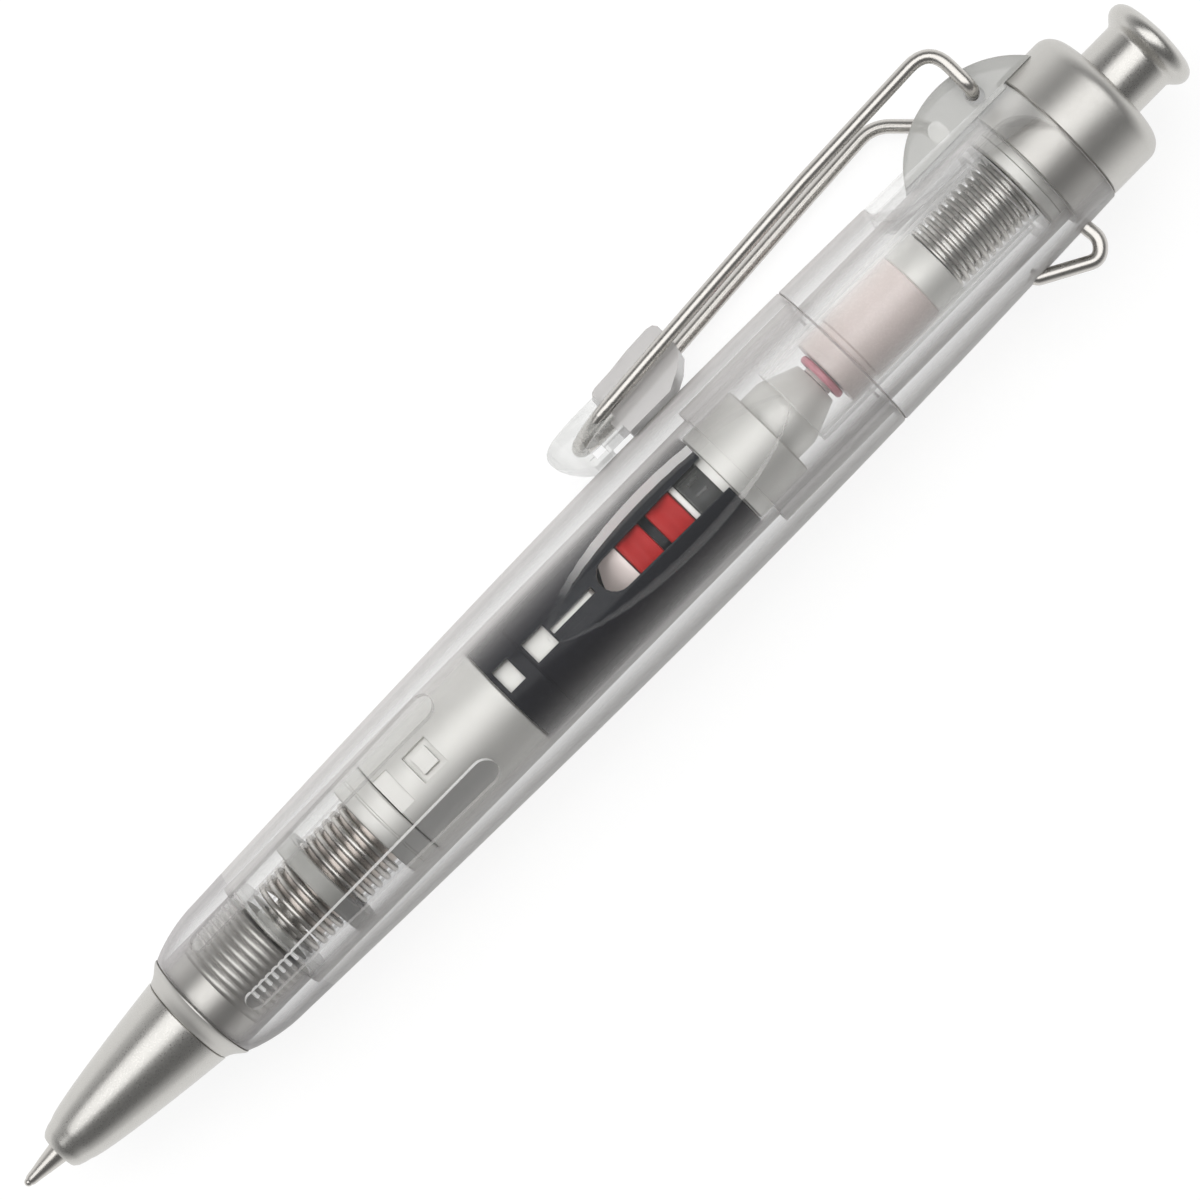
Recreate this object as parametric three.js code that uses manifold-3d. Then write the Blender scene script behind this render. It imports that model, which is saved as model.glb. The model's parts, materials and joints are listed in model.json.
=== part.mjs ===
// A pressurised knock ballpoint pen, lying on its barrel and its clip.
// Sizes are millimetres. The pen is built upright in its own group: +Y runs from the writing
// point to the knob, +Z is the clip side and +X faces the near window. The group then lies down.
import * as THREE from "three";
import { mergeVertices } from "three/addons/utils/BufferGeometryUtils.js";
import Module from "manifold-3d";

const wasm = await Module();
wasm.setup();

// Lengths along the pen, from the writing point to the knob
const POINT_OUT = 3.7;
const CONE_LENGTH = 14.1;
const FRONT_RING_LENGTH = 1.6;
const LOWER_BARREL_LENGTH = 70;
const UPPER_BARREL_LENGTH = 23.4;
const CAP_LENGTH = 5.35;
const KNOB_OUT = 5.8;

// Outer radii
const CONE_NOSE_RADIUS = 2.15;
const CONE_ROOT_RADIUS = 4.1;
const BARREL_FRONT_RADIUS = 5;
const GRIP_RADIUS = 6;
const BELLY_RADIUS = 7.05;
const BARREL_REAR_RADIUS = 6.3;
const CAP_RADIUS = 6.2;
const KNOB_RADIUS = 3.15;
const KNOB_BEAD_RADIUS = 4;
const KNOB_BEAD_LENGTH = 2.4;

// Clearances
const SEAM = 0.1; // between two pieces that butt or nest
const SLIDE_GAP = 0.1; // round a piece that slides
const SEAT_GAP = 0.3; // under a piece that rests on another
const WIRE_GROOVE_GAP = 0.06; // round the clip wire in its shoe

// Barrel
const FRONT_CURVE = 5; // length of the rounded front
const BELLY_PLACE = 53.4; // widest place, from the front of the barrel
const MAIN_BORE = 5.15;
const THREAD_BORE = 4.5;
const SPIGOT_WALL = 0.7;
const SPIGOT_LENGTH = 11.8;
const CAP_SPIGOT_LENGTH = 3.4;
const CAP_END_WALL = 0.3;

// Nose cone and its screw neck
const POINT_HOLE = 1.25;
const NECK_BORE = 1.9;
const NECK_WAIST = 3.3;
const NECK_RADIUS = 3.95;
const THREAD_RADIUS = 4.3;
const THREAD_PITCH = 0.68;
const THREAD_TURNS = 8;
const THREAD_START = 2; // from the front of the barrel

// Finger grooves
const GROOVE_DEPTH = 0.35;
const GROOVE_START = 2.9; // from the front of the barrel
const GROOVE_LENGTH = 26.5;
const GROOVE_FRONT_WIDTH = 1.5;
const GROOVE_REAR_WIDTH = 2.3;
const GROOVE_ANGLE = 33; // degrees to either side of a window
const GROOVE_RIBS = 7;
const GROOVE_RIB_PITCH = 0.7;
const GROOVE_RIB_HEIGHT = 0.2;

// Windows
const WINDOW_LENGTH = 25.8;
const WINDOW_HALF_ANGLE = 27.7; // degrees
const WINDOW_THICKNESS = 1.1;
const WINDOW_CENTRE = 18.2; // from the front of the pressure cylinder
const WINDOW_ANGLES = [0, 180];

// Refill
const REFILL_TUBE_RADIUS = 1.6;
const REFILL_BORE = 1.15;
const POINT_PLUG_LENGTH = 1.2; // of the point, inside the tube
const POINT_LENGTH = 11.5;
const POINT_RADIUS = 1.1;
const BALL_RADIUS = 0.35;
const INK_LENGTH = 38;

// Front stack, each behind the last
const SEAT_THICKNESS = 1.2;
const RETURN_SPRING_LENGTH = 10.1;
const RETURN_SPRING_RADIUS = 3.2; // to the middle of the wire
const RETURN_SPRING_WIRE = 0.5;
const RETURN_SPRING_TURNS = 9;
const COLLAR_PLACE = 3.9; // from the spring seat
const COLLAR_LENGTH = 1.5;
const NUT_LENGTH = 2.65;
const NUT_SLEEVE_RADIUS = 2.65; // guides the return spring from inside
const NUT_SLEEVE_GAP = 1.5; // from the sleeve to the spring seat
const HOLDER_LENGTH = 11.85;
const HOLDER_RADIUS = 4.95;
const HOLDER_SPIGOT_LENGTH = 10.2;
const CYLINDER_LENGTH = 23.2;
const CYLINDER_RADIUS = 4.65;
const CYLINDER_BORE = 4.2;
const CYLINDER_END_LENGTH = 5.2;
const CYLINDER_END_RADIUS = 4.3;
const CYLINDER_END_BORE = 3.8;
const CYLINDER_END_SPIGOT = 0.6; // length of the part that enters the pressure cylinder

// Slots in the pressure cylinder: place from its front, length, half angle in degrees
const SIGHT_SLOT = { place: 11, length: 13, half: 21 };
const SLOT_NOSE = 1.6; // length of the sight slot's rounded front
const LATCH_SLOT = { place: 0.5, length: 1.5, half: 14 };
const REAR_LATCH_SLOT = { place: 3.5, length: 2.3, half: 13 };

// Latch recess in the refill holder: place from its front, length, half angle in degrees, depth
const HOLDER_LATCH = { place: 2.9, length: 2.4, half: 15, depth: 0.5 };

// Piston, measured from its nose
const PISTON_PLACE = 11; // nose of the piston from the front of the pressure cylinder
const PISTON_NOSE_LENGTH = 2.7;
const PISTON_CORE_RADIUS = 3.3;
const PISTON_RADIUS = 3.9;
const SEAL_RADIUS = 4.1;
const SEAL_LENGTH = 2.5;
const SEAL_SPACING = 0.8;
const SPACER_LENGTH = 0.5;
const STOP_RING_LENGTH = 2.4;
const STOP_RING_RADIUS = 3.65;
const ROD_RADIUS = 0.7;

// Rear stack
const INNER_TUBE_RADIUS = 3.65;
const INNER_TUBE_BORE = 3.25;
const VALVE_LENGTH = 7.6;
const VALVE_TAPER_LENGTH = 3.3;
const VALVE_COLLAR_LENGTH = 0.7;
const VALVE_TIP_RADIUS = 1.9;
const VALVE_IN_CYLINDER_END = 2.5; // length of the valve inside the cylinder end
const VALVE_IN_TUBE = 2.6; // length of the valve inside the inner tube
const TUBE_FLANGE_LENGTH = 1;
const PLUNGER_RING_LENGTH = 0.6;
const REAR_SPRING_LENGTH = 11.2;
const REAR_SPRING_RADIUS = 2.75;
const REAR_SPRING_WIRE = 0.42;
const REAR_SPRING_TURNS = 10;
const GUIDE_LENGTH = 10.1;
const GUIDE_RADIUS = 4.75;
const GUIDE_BORE = 3.95;
const GUIDE_FLANGE_LENGTH = 1;
const GUIDE_RIB_PLACE = 3.7;
const GUIDE_RIB_HALF_ANGLE = 27; // degrees
const LUG_HALF_ANGLE = 12; // degrees
const LUGS = 4;
const ROTOR_LENGTH = 2.8;
const ROTOR_RADIUS = 2.9;
const ROTOR_SLEEVE_RADIUS = 2.25; // guides the rear spring from inside
const ROTOR_SLEEVE_GAP = 2.9; // from the sleeve to the plunger
const LUG_LENGTH = 1.4;
const CAM_TEETH = 8;
const CAM_TOOTH_HEIGHT = 0.7;
const CAM_GAP = 0.4;

// Clip
const EAR_RADIUS = 8.6;
const EAR_PLACE = 4; // middle of the ear, ahead of the rear end of the barrel
const EAR_CENTRE_HEIGHT = 0.4;
const EAR_THICKNESS = 5.8;
const EAR_FROM = 3; // height over the axis at which the plate starts
const SADDLE_LENGTH = 14.3;
const SADDLE_HALF_ANGLE = 58; // degrees
const SADDLE_SLANT = 2.6; // length over which the front edge slants
const SADDLE_FRONT_SHARE = 0.55; // of the half angle, at the very front
const SADDLE_THICKNESS = 0.8;
const CLIP_WIRE_RADIUS = 0.57;
const CLIP_HALF_WIDTH = 4.3;
const CLIP_PIN_DEPTH = 1.1;
const CLIP_PIVOT_OFFSET = 1.77; // of each pin, along the pen, from the hinge line
const CLIP_HINGE_HEIGHT = 6.8;
const CLIP_OPENS = 15; // degrees
const CLIP_LENGTH = 38.7; // hinge line to the end of the hairpin
const CLIP_TOP_HEIGHT = 11.5;
const CLIP_END_HEIGHT = 9.4;
const CLIP_SAG_POWER = 1.15; // how evenly the wire comes down to its end
const CLIP_BEND = 3.2;
const FAR_LEG_LEAN = 3;
const SHOE_HALF_WIDTH = 3.35;
const SHOE_NOSE_RADIUS = 5.05;
const SHOE_TOP = 2; // above the wire's end
const SHOE_LENGTH = 13.6;

// Lanyard loop
const LOOP_WIRE_RADIUS = 0.57;
const LOOP_PLACE = 3.4; // straight leg, ahead of the rear end of the barrel
const LOOP_WIDTH = 5.1;
const LOOP_DEPTH = 8.5; // lowest place of the wire's middle, from the axis
const LOOP_ROOT = 5.95;

// Fineness
const OUTER_SIDES = 32;
const INNER_SIDES = 20;
const SMALL_SIDES = 14;
const WIRE_SIDES = 8;

// Stations along the pen
const coneFront = POINT_OUT;
const coneRear = coneFront + CONE_LENGTH;
const ringFront = coneRear + SEAM;
const ringRear = ringFront + FRONT_RING_LENGTH;
const barrelFront = ringRear + SEAM;
const barrelSeam = barrelFront + LOWER_BARREL_LENGTH;
const upperFront = barrelSeam + SEAM;
const barrelRear = upperFront + UPPER_BARREL_LENGTH;
const capFront = barrelRear + SEAM;
const capRear = capFront + CAP_LENGTH;
const knobEnd = capRear + KNOB_OUT;
const threadFront = barrelFront + THREAD_START;
const neckEnd = threadFront + THREAD_PITCH * THREAD_TURNS;
const seatFront = neckEnd + SEAM;
const seatRear = seatFront + SEAT_THICKNESS;
const nutFront = seatRear + RETURN_SPRING_LENGTH;
const holderFront = nutFront + NUT_LENGTH + SEAM;
const cylinderFront = holderFront + HOLDER_LENGTH + SEAM;
const cylinderRear = cylinderFront + CYLINDER_LENGTH;
const endFront = cylinderRear + SEAM;
const endRear = endFront + CYLINDER_END_LENGTH;
const windowCentre = cylinderFront + WINDOW_CENTRE;
const pistonNose = cylinderFront + PISTON_PLACE;
const sealFront = pistonNose + PISTON_NOSE_LENGTH + SEAM;
const sealRear = sealFront + SEAL_LENGTH + SEAL_SPACING;
const spacerFront = sealRear + SEAL_LENGTH + SEAM;
const stopFront = spacerFront + SPACER_LENGTH + SEAM;
const pistonRear = stopFront + STOP_RING_LENGTH + SEAM;
const spigotFront = barrelSeam - SPIGOT_LENGTH;
const spigotOuter = MAIN_BORE + SPIGOT_WALL - SEAM;
const spigotBore = MAIN_BORE - SEAM;
const capSpigotRadius = spigotBore + SPIGOT_WALL - SEAM;
const guideRear = capRear - CAP_END_WALL - SEAM;
const guideFront = guideRear - GUIDE_LENGTH;
const ribFront = guideFront + GUIDE_RIB_PLACE;
const rotorRear = ribFront - SEAT_GAP;
const rotorFront = rotorRear - ROTOR_LENGTH;
const rearSpringFront = rotorFront - REAR_SPRING_LENGTH - SEAM;
const valveFront = endRear - VALVE_IN_CYLINDER_END;
const valveRear = valveFront + VALVE_LENGTH;
const plungerFront = valveRear + SEAM;
const plungerRear = rearSpringFront - SEAM;
const innerTubeFront = valveRear - VALVE_IN_TUBE;
const innerTubeRear = guideFront - 0.2;
const earCentre = barrelRear - EAR_PLACE;
const hingePlace = earCentre;
const hairpinEnd = hingePlace - CLIP_LENGTH;
const loopLeg = barrelRear - LOOP_PLACE;

const radians = THREE.MathUtils.degToRad;

// The outer radius of the barrel at a place along the pen
function barrelRadius(place) {
  const curveEnd = barrelFront + FRONT_CURVE;
  const belly = barrelFront + BELLY_PLACE;
  if (place < curveEnd) {
    const left = 1 - Math.max(0, place - barrelFront) / FRONT_CURVE;
    return GRIP_RADIUS - (GRIP_RADIUS - BARREL_FRONT_RADIUS) * left ** 2;
  }
  if (place < belly) {
    const left = 1 - (place - curveEnd) / (belly - curveEnd);
    return BELLY_RADIUS - (BELLY_RADIUS - GRIP_RADIUS) * left ** 1.6;
  }
  const past = Math.min(1, (place - belly) / (barrelRear - belly));
  return BELLY_RADIUS - (BELLY_RADIUS - BARREL_REAR_RADIUS) * past ** 1.9;
}

// A closed manifold solid from a three.js geometry, with flat slivers dropped
function toSolid(geometry) {
  const bare = geometry.index ? geometry.toNonIndexed() : geometry.clone();
  bare.deleteAttribute("normal");
  bare.deleteAttribute("uv");
  const merged = mergeVertices(bare, 1e-4);
  const index = merged.index.array;
  const faces = [];
  for (let i = 0; i < index.length; i += 3) {
    const [a, b, c] = [index[i], index[i + 1], index[i + 2]];
    if (a !== b && b !== c && c !== a) faces.push(a, b, c);
  }
  const vertProperties = merged.attributes.position.array;
  const build = (list) =>
    new wasm.Manifold(new wasm.Mesh({ numProp: 3, vertProperties, triVerts: new Uint32Array(list) }));
  const made = build(faces);
  return made.volume() < 0 ? build(faces.reverse()) : made;
}

function toGeometry(solid) {
  const { vertProperties, triVerts } = solid.getMesh();
  const geometry = new THREE.BufferGeometry();
  geometry.setAttribute("position", new THREE.BufferAttribute(new Float32Array(vertProperties), 3));
  geometry.setIndex(new THREE.BufferAttribute(new Uint32Array(triVerts), 1));
  const flat = geometry.toNonIndexed();
  flat.computeVertexNormals();
  return flat;
}

// A solid turned round the pen's axis, from [radius, place] pairs. An outline that leaves the
// axis closes on itself.
function turned(outline, sides = INNER_SIDES) {
  const points = outline.map(([radius, place]) => new THREE.Vector2(radius, place));
  if (outline[0][0] > 0) points.push(points[0].clone());
  return toSolid(new THREE.LatheGeometry(points, sides));
}

const tube = (front, rear, inner, outer, sides = INNER_SIDES) =>
  turned([[inner, front], [outer, front], [outer, rear], [inner, rear]], sides);

const steps = (count) => Array.from({ length: count + 1 }, (_, i) => i / count);

// A curved slab round the pen's axis. Each station gives its place, inner and outer radius and
// half its angle in degrees.
function band(stations, middle, sectors = 4) {
  const positions = [];
  const ring = sectors + 1;
  for (const { place, inner, outer, half } of stations) {
    for (const radius of [inner, outer]) {
      for (let j = 0; j < ring; j++) {
        const angle = radians(middle - half + (2 * half * j) / sectors);
        positions.push(radius * Math.cos(angle), place, radius * Math.sin(angle));
      }
    }
  }
  const at = (station, side, j) => station * 2 * ring + side * ring + j;
  const faces = [];
  const quad = (a, b, c, d) => faces.push(a, b, c, a, c, d);
  const last = stations.length - 1;
  for (let i = 0; i < last; i++) {
    for (let j = 0; j < sectors; j++) {
      quad(at(i, 1, j), at(i + 1, 1, j), at(i + 1, 1, j + 1), at(i, 1, j + 1));
      quad(at(i, 0, j), at(i, 0, j + 1), at(i + 1, 0, j + 1), at(i + 1, 0, j));
    }
    quad(at(i, 0, 0), at(i + 1, 0, 0), at(i + 1, 1, 0), at(i, 1, 0));
    quad(at(i, 1, sectors), at(i + 1, 1, sectors), at(i + 1, 0, sectors), at(i, 0, sectors));
  }
  for (let j = 0; j < sectors; j++) {
    quad(at(0, 0, j), at(0, 1, j), at(0, 1, j + 1), at(0, 0, j + 1));
    quad(at(last, 0, j), at(last, 0, j + 1), at(last, 1, j + 1), at(last, 1, j));
  }
  const geometry = new THREE.BufferGeometry();
  geometry.setAttribute("position", new THREE.BufferAttribute(new Float32Array(positions), 3));
  geometry.setIndex(faces);
  return toSolid(geometry);
}

// A round wire along a list of points, with closed ends
function wire(path, radius, sides = WIRE_SIDES) {
  const positions = [];
  let normal = null;
  path.forEach((point, i) => {
    const before = path[Math.max(0, i - 1)];
    const after = path[Math.min(path.length - 1, i + 1)];
    const along = after.clone().sub(before).normalize();
    if (!normal) {
      const helper = Math.abs(along.y) < 0.9 ? new THREE.Vector3(0, 1, 0) : new THREE.Vector3(1, 0, 0);
      normal = helper.cross(along);
    }
    normal = normal.clone().addScaledVector(along, -normal.dot(along)).normalize();
    const side = along.clone().cross(normal);
    for (let k = 0; k < sides; k++) {
      const angle = (2 * Math.PI * k) / sides;
      const rim = point.clone()
        .addScaledVector(normal, radius * Math.cos(angle))
        .addScaledVector(side, radius * Math.sin(angle));
      positions.push(rim.x, rim.y, rim.z);
    }
  });
  const faces = [];
  for (let i = 0; i + 1 < path.length; i++) {
    for (let k = 0; k < sides; k++) {
      const next = (k + 1) % sides;
      const [a, b] = [i * sides + k, i * sides + next];
      faces.push(a, b, b + sides, a, b + sides, a + sides);
    }
  }
  const end = (path.length - 1) * sides;
  for (let k = 1; k + 1 < sides; k++) faces.push(0, k + 1, k, end, end + k, end + k + 1);
  const geometry = new THREE.BufferGeometry();
  geometry.setAttribute("position", new THREE.BufferAttribute(new Float32Array(positions), 3));
  geometry.setIndex(faces);
  return toSolid(geometry);
}

// The middle line of a wire bent at its corners, each corner an arc of its own radius
function bentLine(corners, arcSteps = 5) {
  const line = [corners[0].point];
  for (let i = 1; i + 1 < corners.length; i++) {
    const { point, bend } = corners[i];
    const back = corners[i - 1].point.clone().sub(point);
    const ahead = corners[i + 1].point.clone().sub(point);
    const half = back.angleTo(ahead) / 2;
    const reach = Math.min(bend / Math.tan(half), 0.49 * back.length(), 0.49 * ahead.length());
    const start = point.clone().addScaledVector(back.normalize(), reach);
    const stop = point.clone().addScaledVector(ahead.normalize(), reach);
    const arc = new THREE.QuadraticBezierCurve3(start, point, stop);
    line.push(...arc.getPoints(arcSteps));
  }
  line.push(corners.at(-1).point);
  return line;
}

// The middle line of a coil spring, whose ends run straight for one wire thickness
function springLine(front, rear, radius, turns, thickness) {
  const line = [new THREE.Vector3(radius, front, 0)];
  const [coilFront, coilRear] = [front + thickness, rear - thickness];
  for (const part of steps(8 * turns)) {
    const angle = 2 * Math.PI * turns * part;
    const place = THREE.MathUtils.lerp(coilFront, coilRear, part);
    line.push(new THREE.Vector3(radius * Math.cos(angle), place, radius * Math.sin(angle)));
  }
  line.push(new THREE.Vector3(radius, rear, 0));
  return line;
}

// The least gap between two turns of a spring, measured on its points
function leastGap(line, thickness) {
  let least = Infinity;
  for (let i = 0; i < line.length; i++) {
    for (let j = i + 6; j < line.length; j++) least = Math.min(least, line[i].distanceTo(line[j]));
  }
  return least - thickness;
}

function coilSpring(label, front, rear, radius, turns, thickness) {
  const line = springLine(front, rear, radius, turns, thickness);
  console.log(`${label}: least gap between turns ${leastGap(line, thickness).toFixed(2)} mm`);
  return wire(line, thickness / 2, 5);
}

const finishes = {
  clearPlastic: { color: 0xdfe0de, roughness: 0.08, metalness: 0 },
  frostedPlastic: { color: 0xd2d0cd, roughness: 0.5, metalness: 0 },
  satinSilver: { color: 0xb9b6b1, roughness: 0.35, metalness: 0.9 },
  steel: { color: 0xb4b2aa, roughness: 0.15, metalness: 1 },
  blackPlastic: { color: 0x2c2b2f, roughness: 0.35, metalness: 0 },
  redRubber: { color: 0xcd322d, roughness: 0.45, metalness: 0 },
  pinkPlastic: { color: 0xd7c8c8, roughness: 0.3, metalness: 0 },
  whitePlastic: { color: 0xe6e6e2, roughness: 0.35, metalness: 0 },
  brass: { color: 0xb5a26a, roughness: 0.25, metalness: 1 },
  ink: { color: 0x101014, roughness: 0.3, metalness: 0 },
};

const pen = new THREE.Group();

function addPiece(name, solid, finish, parent = pen) {
  const mesh = new THREE.Mesh(toGeometry(solid), new THREE.MeshStandardMaterial(finishes[finish]));
  mesh.name = name;
  parent.add(mesh);
  return mesh;
}

// Refill: ball, point, tube and ink
function addRefill() {
  const ball = new THREE.SphereGeometry(BALL_RADIUS, 14, 10).translate(0, BALL_RADIUS, 0);
  addPiece("refill_ball", toSolid(ball), "steel");
  const rim = 1.4 * BALL_RADIUS;
  const socket = BALL_RADIUS + 0.05;
  const mouth = POINT_OUT - 0.3;
  const tubeFront = POINT_LENGTH + SEAM;
  const plugRear = POINT_LENGTH + POINT_PLUG_LENGTH;
  addPiece("refill_point", turned([
    [0, 2 * BALL_RADIUS + 0.1], [socket, 2 * BALL_RADIUS + 0.1], [socket, rim], [socket + 0.1, rim],
    [0.9 * POINT_RADIUS - 0.1, mouth], [POINT_RADIUS, mouth + 1.2], [POINT_RADIUS, POINT_LENGTH - 2],
    [REFILL_TUBE_RADIUS - 0.1, POINT_LENGTH - 1.6], [REFILL_TUBE_RADIUS - 0.1, POINT_LENGTH],
    [REFILL_BORE - SEAM, POINT_LENGTH], [REFILL_BORE - SEAM, plugRear], [0, plugRear],
  ], SMALL_SIDES), "brass");
  const tubeRear = cylinderFront + HOLDER_SPIGOT_LENGTH - 0.5;
  const sleeve = tube(tubeFront, tubeRear, REFILL_BORE, REFILL_TUBE_RADIUS, SMALL_SIDES);
  addPiece("refill_tube", sleeve, "steel");
  const inkFront = plugRear + SEAM;
  const ink = turned([
    [0, inkFront], [REFILL_BORE - SEAM, inkFront],
    [REFILL_BORE - SEAM, inkFront + INK_LENGTH], [0, inkFront + INK_LENGTH],
  ], SMALL_SIDES);
  addPiece("ink", ink, "ink");
}

// Nose cone with its screw neck, and the ring that it clamps against the barrel
function addNose() {
  const noseEnd = coneFront + 1.3;
  const outside = steps(5).map((part) => [
    CONE_NOSE_RADIUS + (CONE_ROOT_RADIUS - CONE_NOSE_RADIUS) * part ** 0.72,
    THREE.MathUtils.lerp(noseEnd, coneRear, part),
  ]);
  const threads = [];
  for (let turn = 0; turn < THREAD_TURNS; turn++) {
    const place = threadFront + turn * THREAD_PITCH;
    threads.push([NECK_RADIUS, place], [THREAD_RADIUS, place + THREAD_PITCH / 2]);
  }
  const boreStep = coneFront + 3.3;
  addPiece("nose_cone", turned([
    [POINT_HOLE, coneFront], [POINT_HOLE + 0.25, coneFront], [0.78 * CONE_NOSE_RADIUS, coneFront + 0.35],
    ...outside,
    [NECK_WAIST, coneRear], [NECK_WAIST, ringRear + SEAM], [NECK_RADIUS, ringRear + SEAM],
    ...threads,
    [NECK_RADIUS, neckEnd], [NECK_BORE, neckEnd], [NECK_BORE, boreStep + 0.7], [POINT_HOLE, boreStep],
  ]), "satinSilver");
  addPiece("front_ring", turned([
    [NECK_WAIST + SLIDE_GAP, ringFront], [CONE_ROOT_RADIUS - 0.05, ringFront],
    [CONE_ROOT_RADIUS + 0.12, ringFront + 0.25 * FRONT_RING_LENGTH],
    [0.45 * CONE_ROOT_RADIUS + 0.55 * BARREL_FRONT_RADIUS, ringFront + 0.6 * FRONT_RING_LENGTH],
    [BARREL_FRONT_RADIUS, ringFront + 0.9 * FRONT_RING_LENGTH], [BARREL_FRONT_RADIUS, ringRear],
    [NECK_WAIST + SLIDE_GAP, ringRear],
  ], OUTER_SIDES), "satinSilver");
}

// A finger groove, cut into the barrel. Its floor has cross ribs at the front.
function grooveCutter(angle) {
  const front = barrelFront + GROOVE_START;
  const widthAt = (place) => {
    const part = (place - front) / GROOVE_LENGTH;
    const full = THREE.MathUtils.lerp(GROOVE_FRONT_WIDTH, GROOVE_REAR_WIDTH, part);
    const fromEnd = Math.min(place - front, front + GROOVE_LENGTH - place) / (full / 2);
    return full * (fromEnd < 1 ? Math.sqrt(Math.max(0.04, 1 - (1 - fromEnd) ** 2)) : 1);
  };
  const places = new Map();
  for (const part of [0, 0.15, 0.5, 1]) {
    places.set(front + (part * GROOVE_FRONT_WIDTH) / 2, 0);
    places.set(front + GROOVE_LENGTH - (part * GROOVE_REAR_WIDTH) / 2, 0);
  }
  for (let rib = 0; rib < GROOVE_RIBS; rib++) {
    const start = front + GROOVE_FRONT_WIDTH / 2 + (rib + 0.2) * GROOVE_RIB_PITCH;
    places.set(start, 0);
    places.set(start + 0.15 * GROOVE_RIB_PITCH, GROOVE_RIB_HEIGHT);
    places.set(start + 0.35 * GROOVE_RIB_PITCH, GROOVE_RIB_HEIGHT);
    places.set(start + 0.5 * GROOVE_RIB_PITCH, 0);
  }
  for (const part of [0.4, 0.6, 0.8]) places.set(front + part * GROOVE_LENGTH, 0);
  const stations = [...places].sort((a, b) => a[0] - b[0]).map(([place, rise]) => {
    const radius = barrelRadius(place);
    return {
      place,
      inner: radius - GROOVE_DEPTH + rise,
      outer: radius + 1,
      half: THREE.MathUtils.radToDeg(widthAt(place) / 2 / radius),
    };
  });
  return band(stations, angle, 2);
}

// An eye-shaped window, as the lens or, grown by a clearance, as the opening for it
function windowBand(angle, grow, inner, rise) {
  const stations = steps(12).map((part) => {
    const along = -Math.cos(Math.PI * part);
    const place = windowCentre + along * (WINDOW_LENGTH / 2 + grow);
    const radius = barrelRadius(place);
    const open = WINDOW_HALF_ANGLE * Math.max(0, 1 - along ** 2) ** 0.6;
    const half = Math.max(1.5, open) + THREE.MathUtils.radToDeg(grow / radius);
    return { place, inner: inner ?? radius - WINDOW_THICKNESS, outer: radius + rise, half };
  });
  return band(stations, angle, 8);
}

function addBarrel() {
  const lowerPlaces = [
    ...steps(4).map((part) => barrelFront + part * FRONT_CURVE),
    ...steps(9).slice(1).map((part) => THREE.MathUtils.lerp(barrelFront + FRONT_CURVE, barrelSeam, part)),
  ];
  let lower = turned([
    [THREAD_BORE, barrelFront], ...lowerPlaces.map((place) => [barrelRadius(place), place]),
    [spigotOuter + SEAM, barrelSeam], [spigotOuter + SEAM, spigotFront - SEAM],
    [MAIN_BORE, spigotFront - SEAM], [MAIN_BORE, seatFront], [THREAD_BORE, seatFront],
  ], OUTER_SIDES);
  for (const middle of WINDOW_ANGLES) {
    lower = lower.subtract(windowBand(middle, SEAM, MAIN_BORE - 1, 1));
    for (const side of [-1, 1]) lower = lower.subtract(grooveCutter(middle + side * GROOVE_ANGLE));
  }
  addPiece("barrel_lower", lower, "frostedPlastic");
  const upperPlaces = steps(5).map((part) => THREE.MathUtils.lerp(upperFront, barrelRear, part));
  const capSeat = barrelRear - CAP_SPIGOT_LENGTH - SEAM;
  let upper = turned([
    [spigotBore, spigotFront], [spigotOuter, spigotFront], [spigotOuter, upperFront],
    ...upperPlaces.map((place) => [barrelRadius(place), place]),
    [capSpigotRadius + SEAM, barrelRear], [capSpigotRadius + SEAM, capSeat], [spigotBore, capSeat],
  ], OUTER_SIDES);
  upper = upper.subtract(saddleBand(SEAM, 1));
  for (const leg of loopLegs()) upper = upper.subtract(wire(leg, LOOP_WIRE_RADIUS + SEAM));
  addPiece("barrel_upper", upper, "clearPlastic");
  addPiece("window_lens_near", windowBand(WINDOW_ANGLES[0], 0, undefined, 0), "clearPlastic");
  addPiece("window_lens_far", windowBand(WINDOW_ANGLES[1], 0, undefined, 0), "clearPlastic");
}

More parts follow.
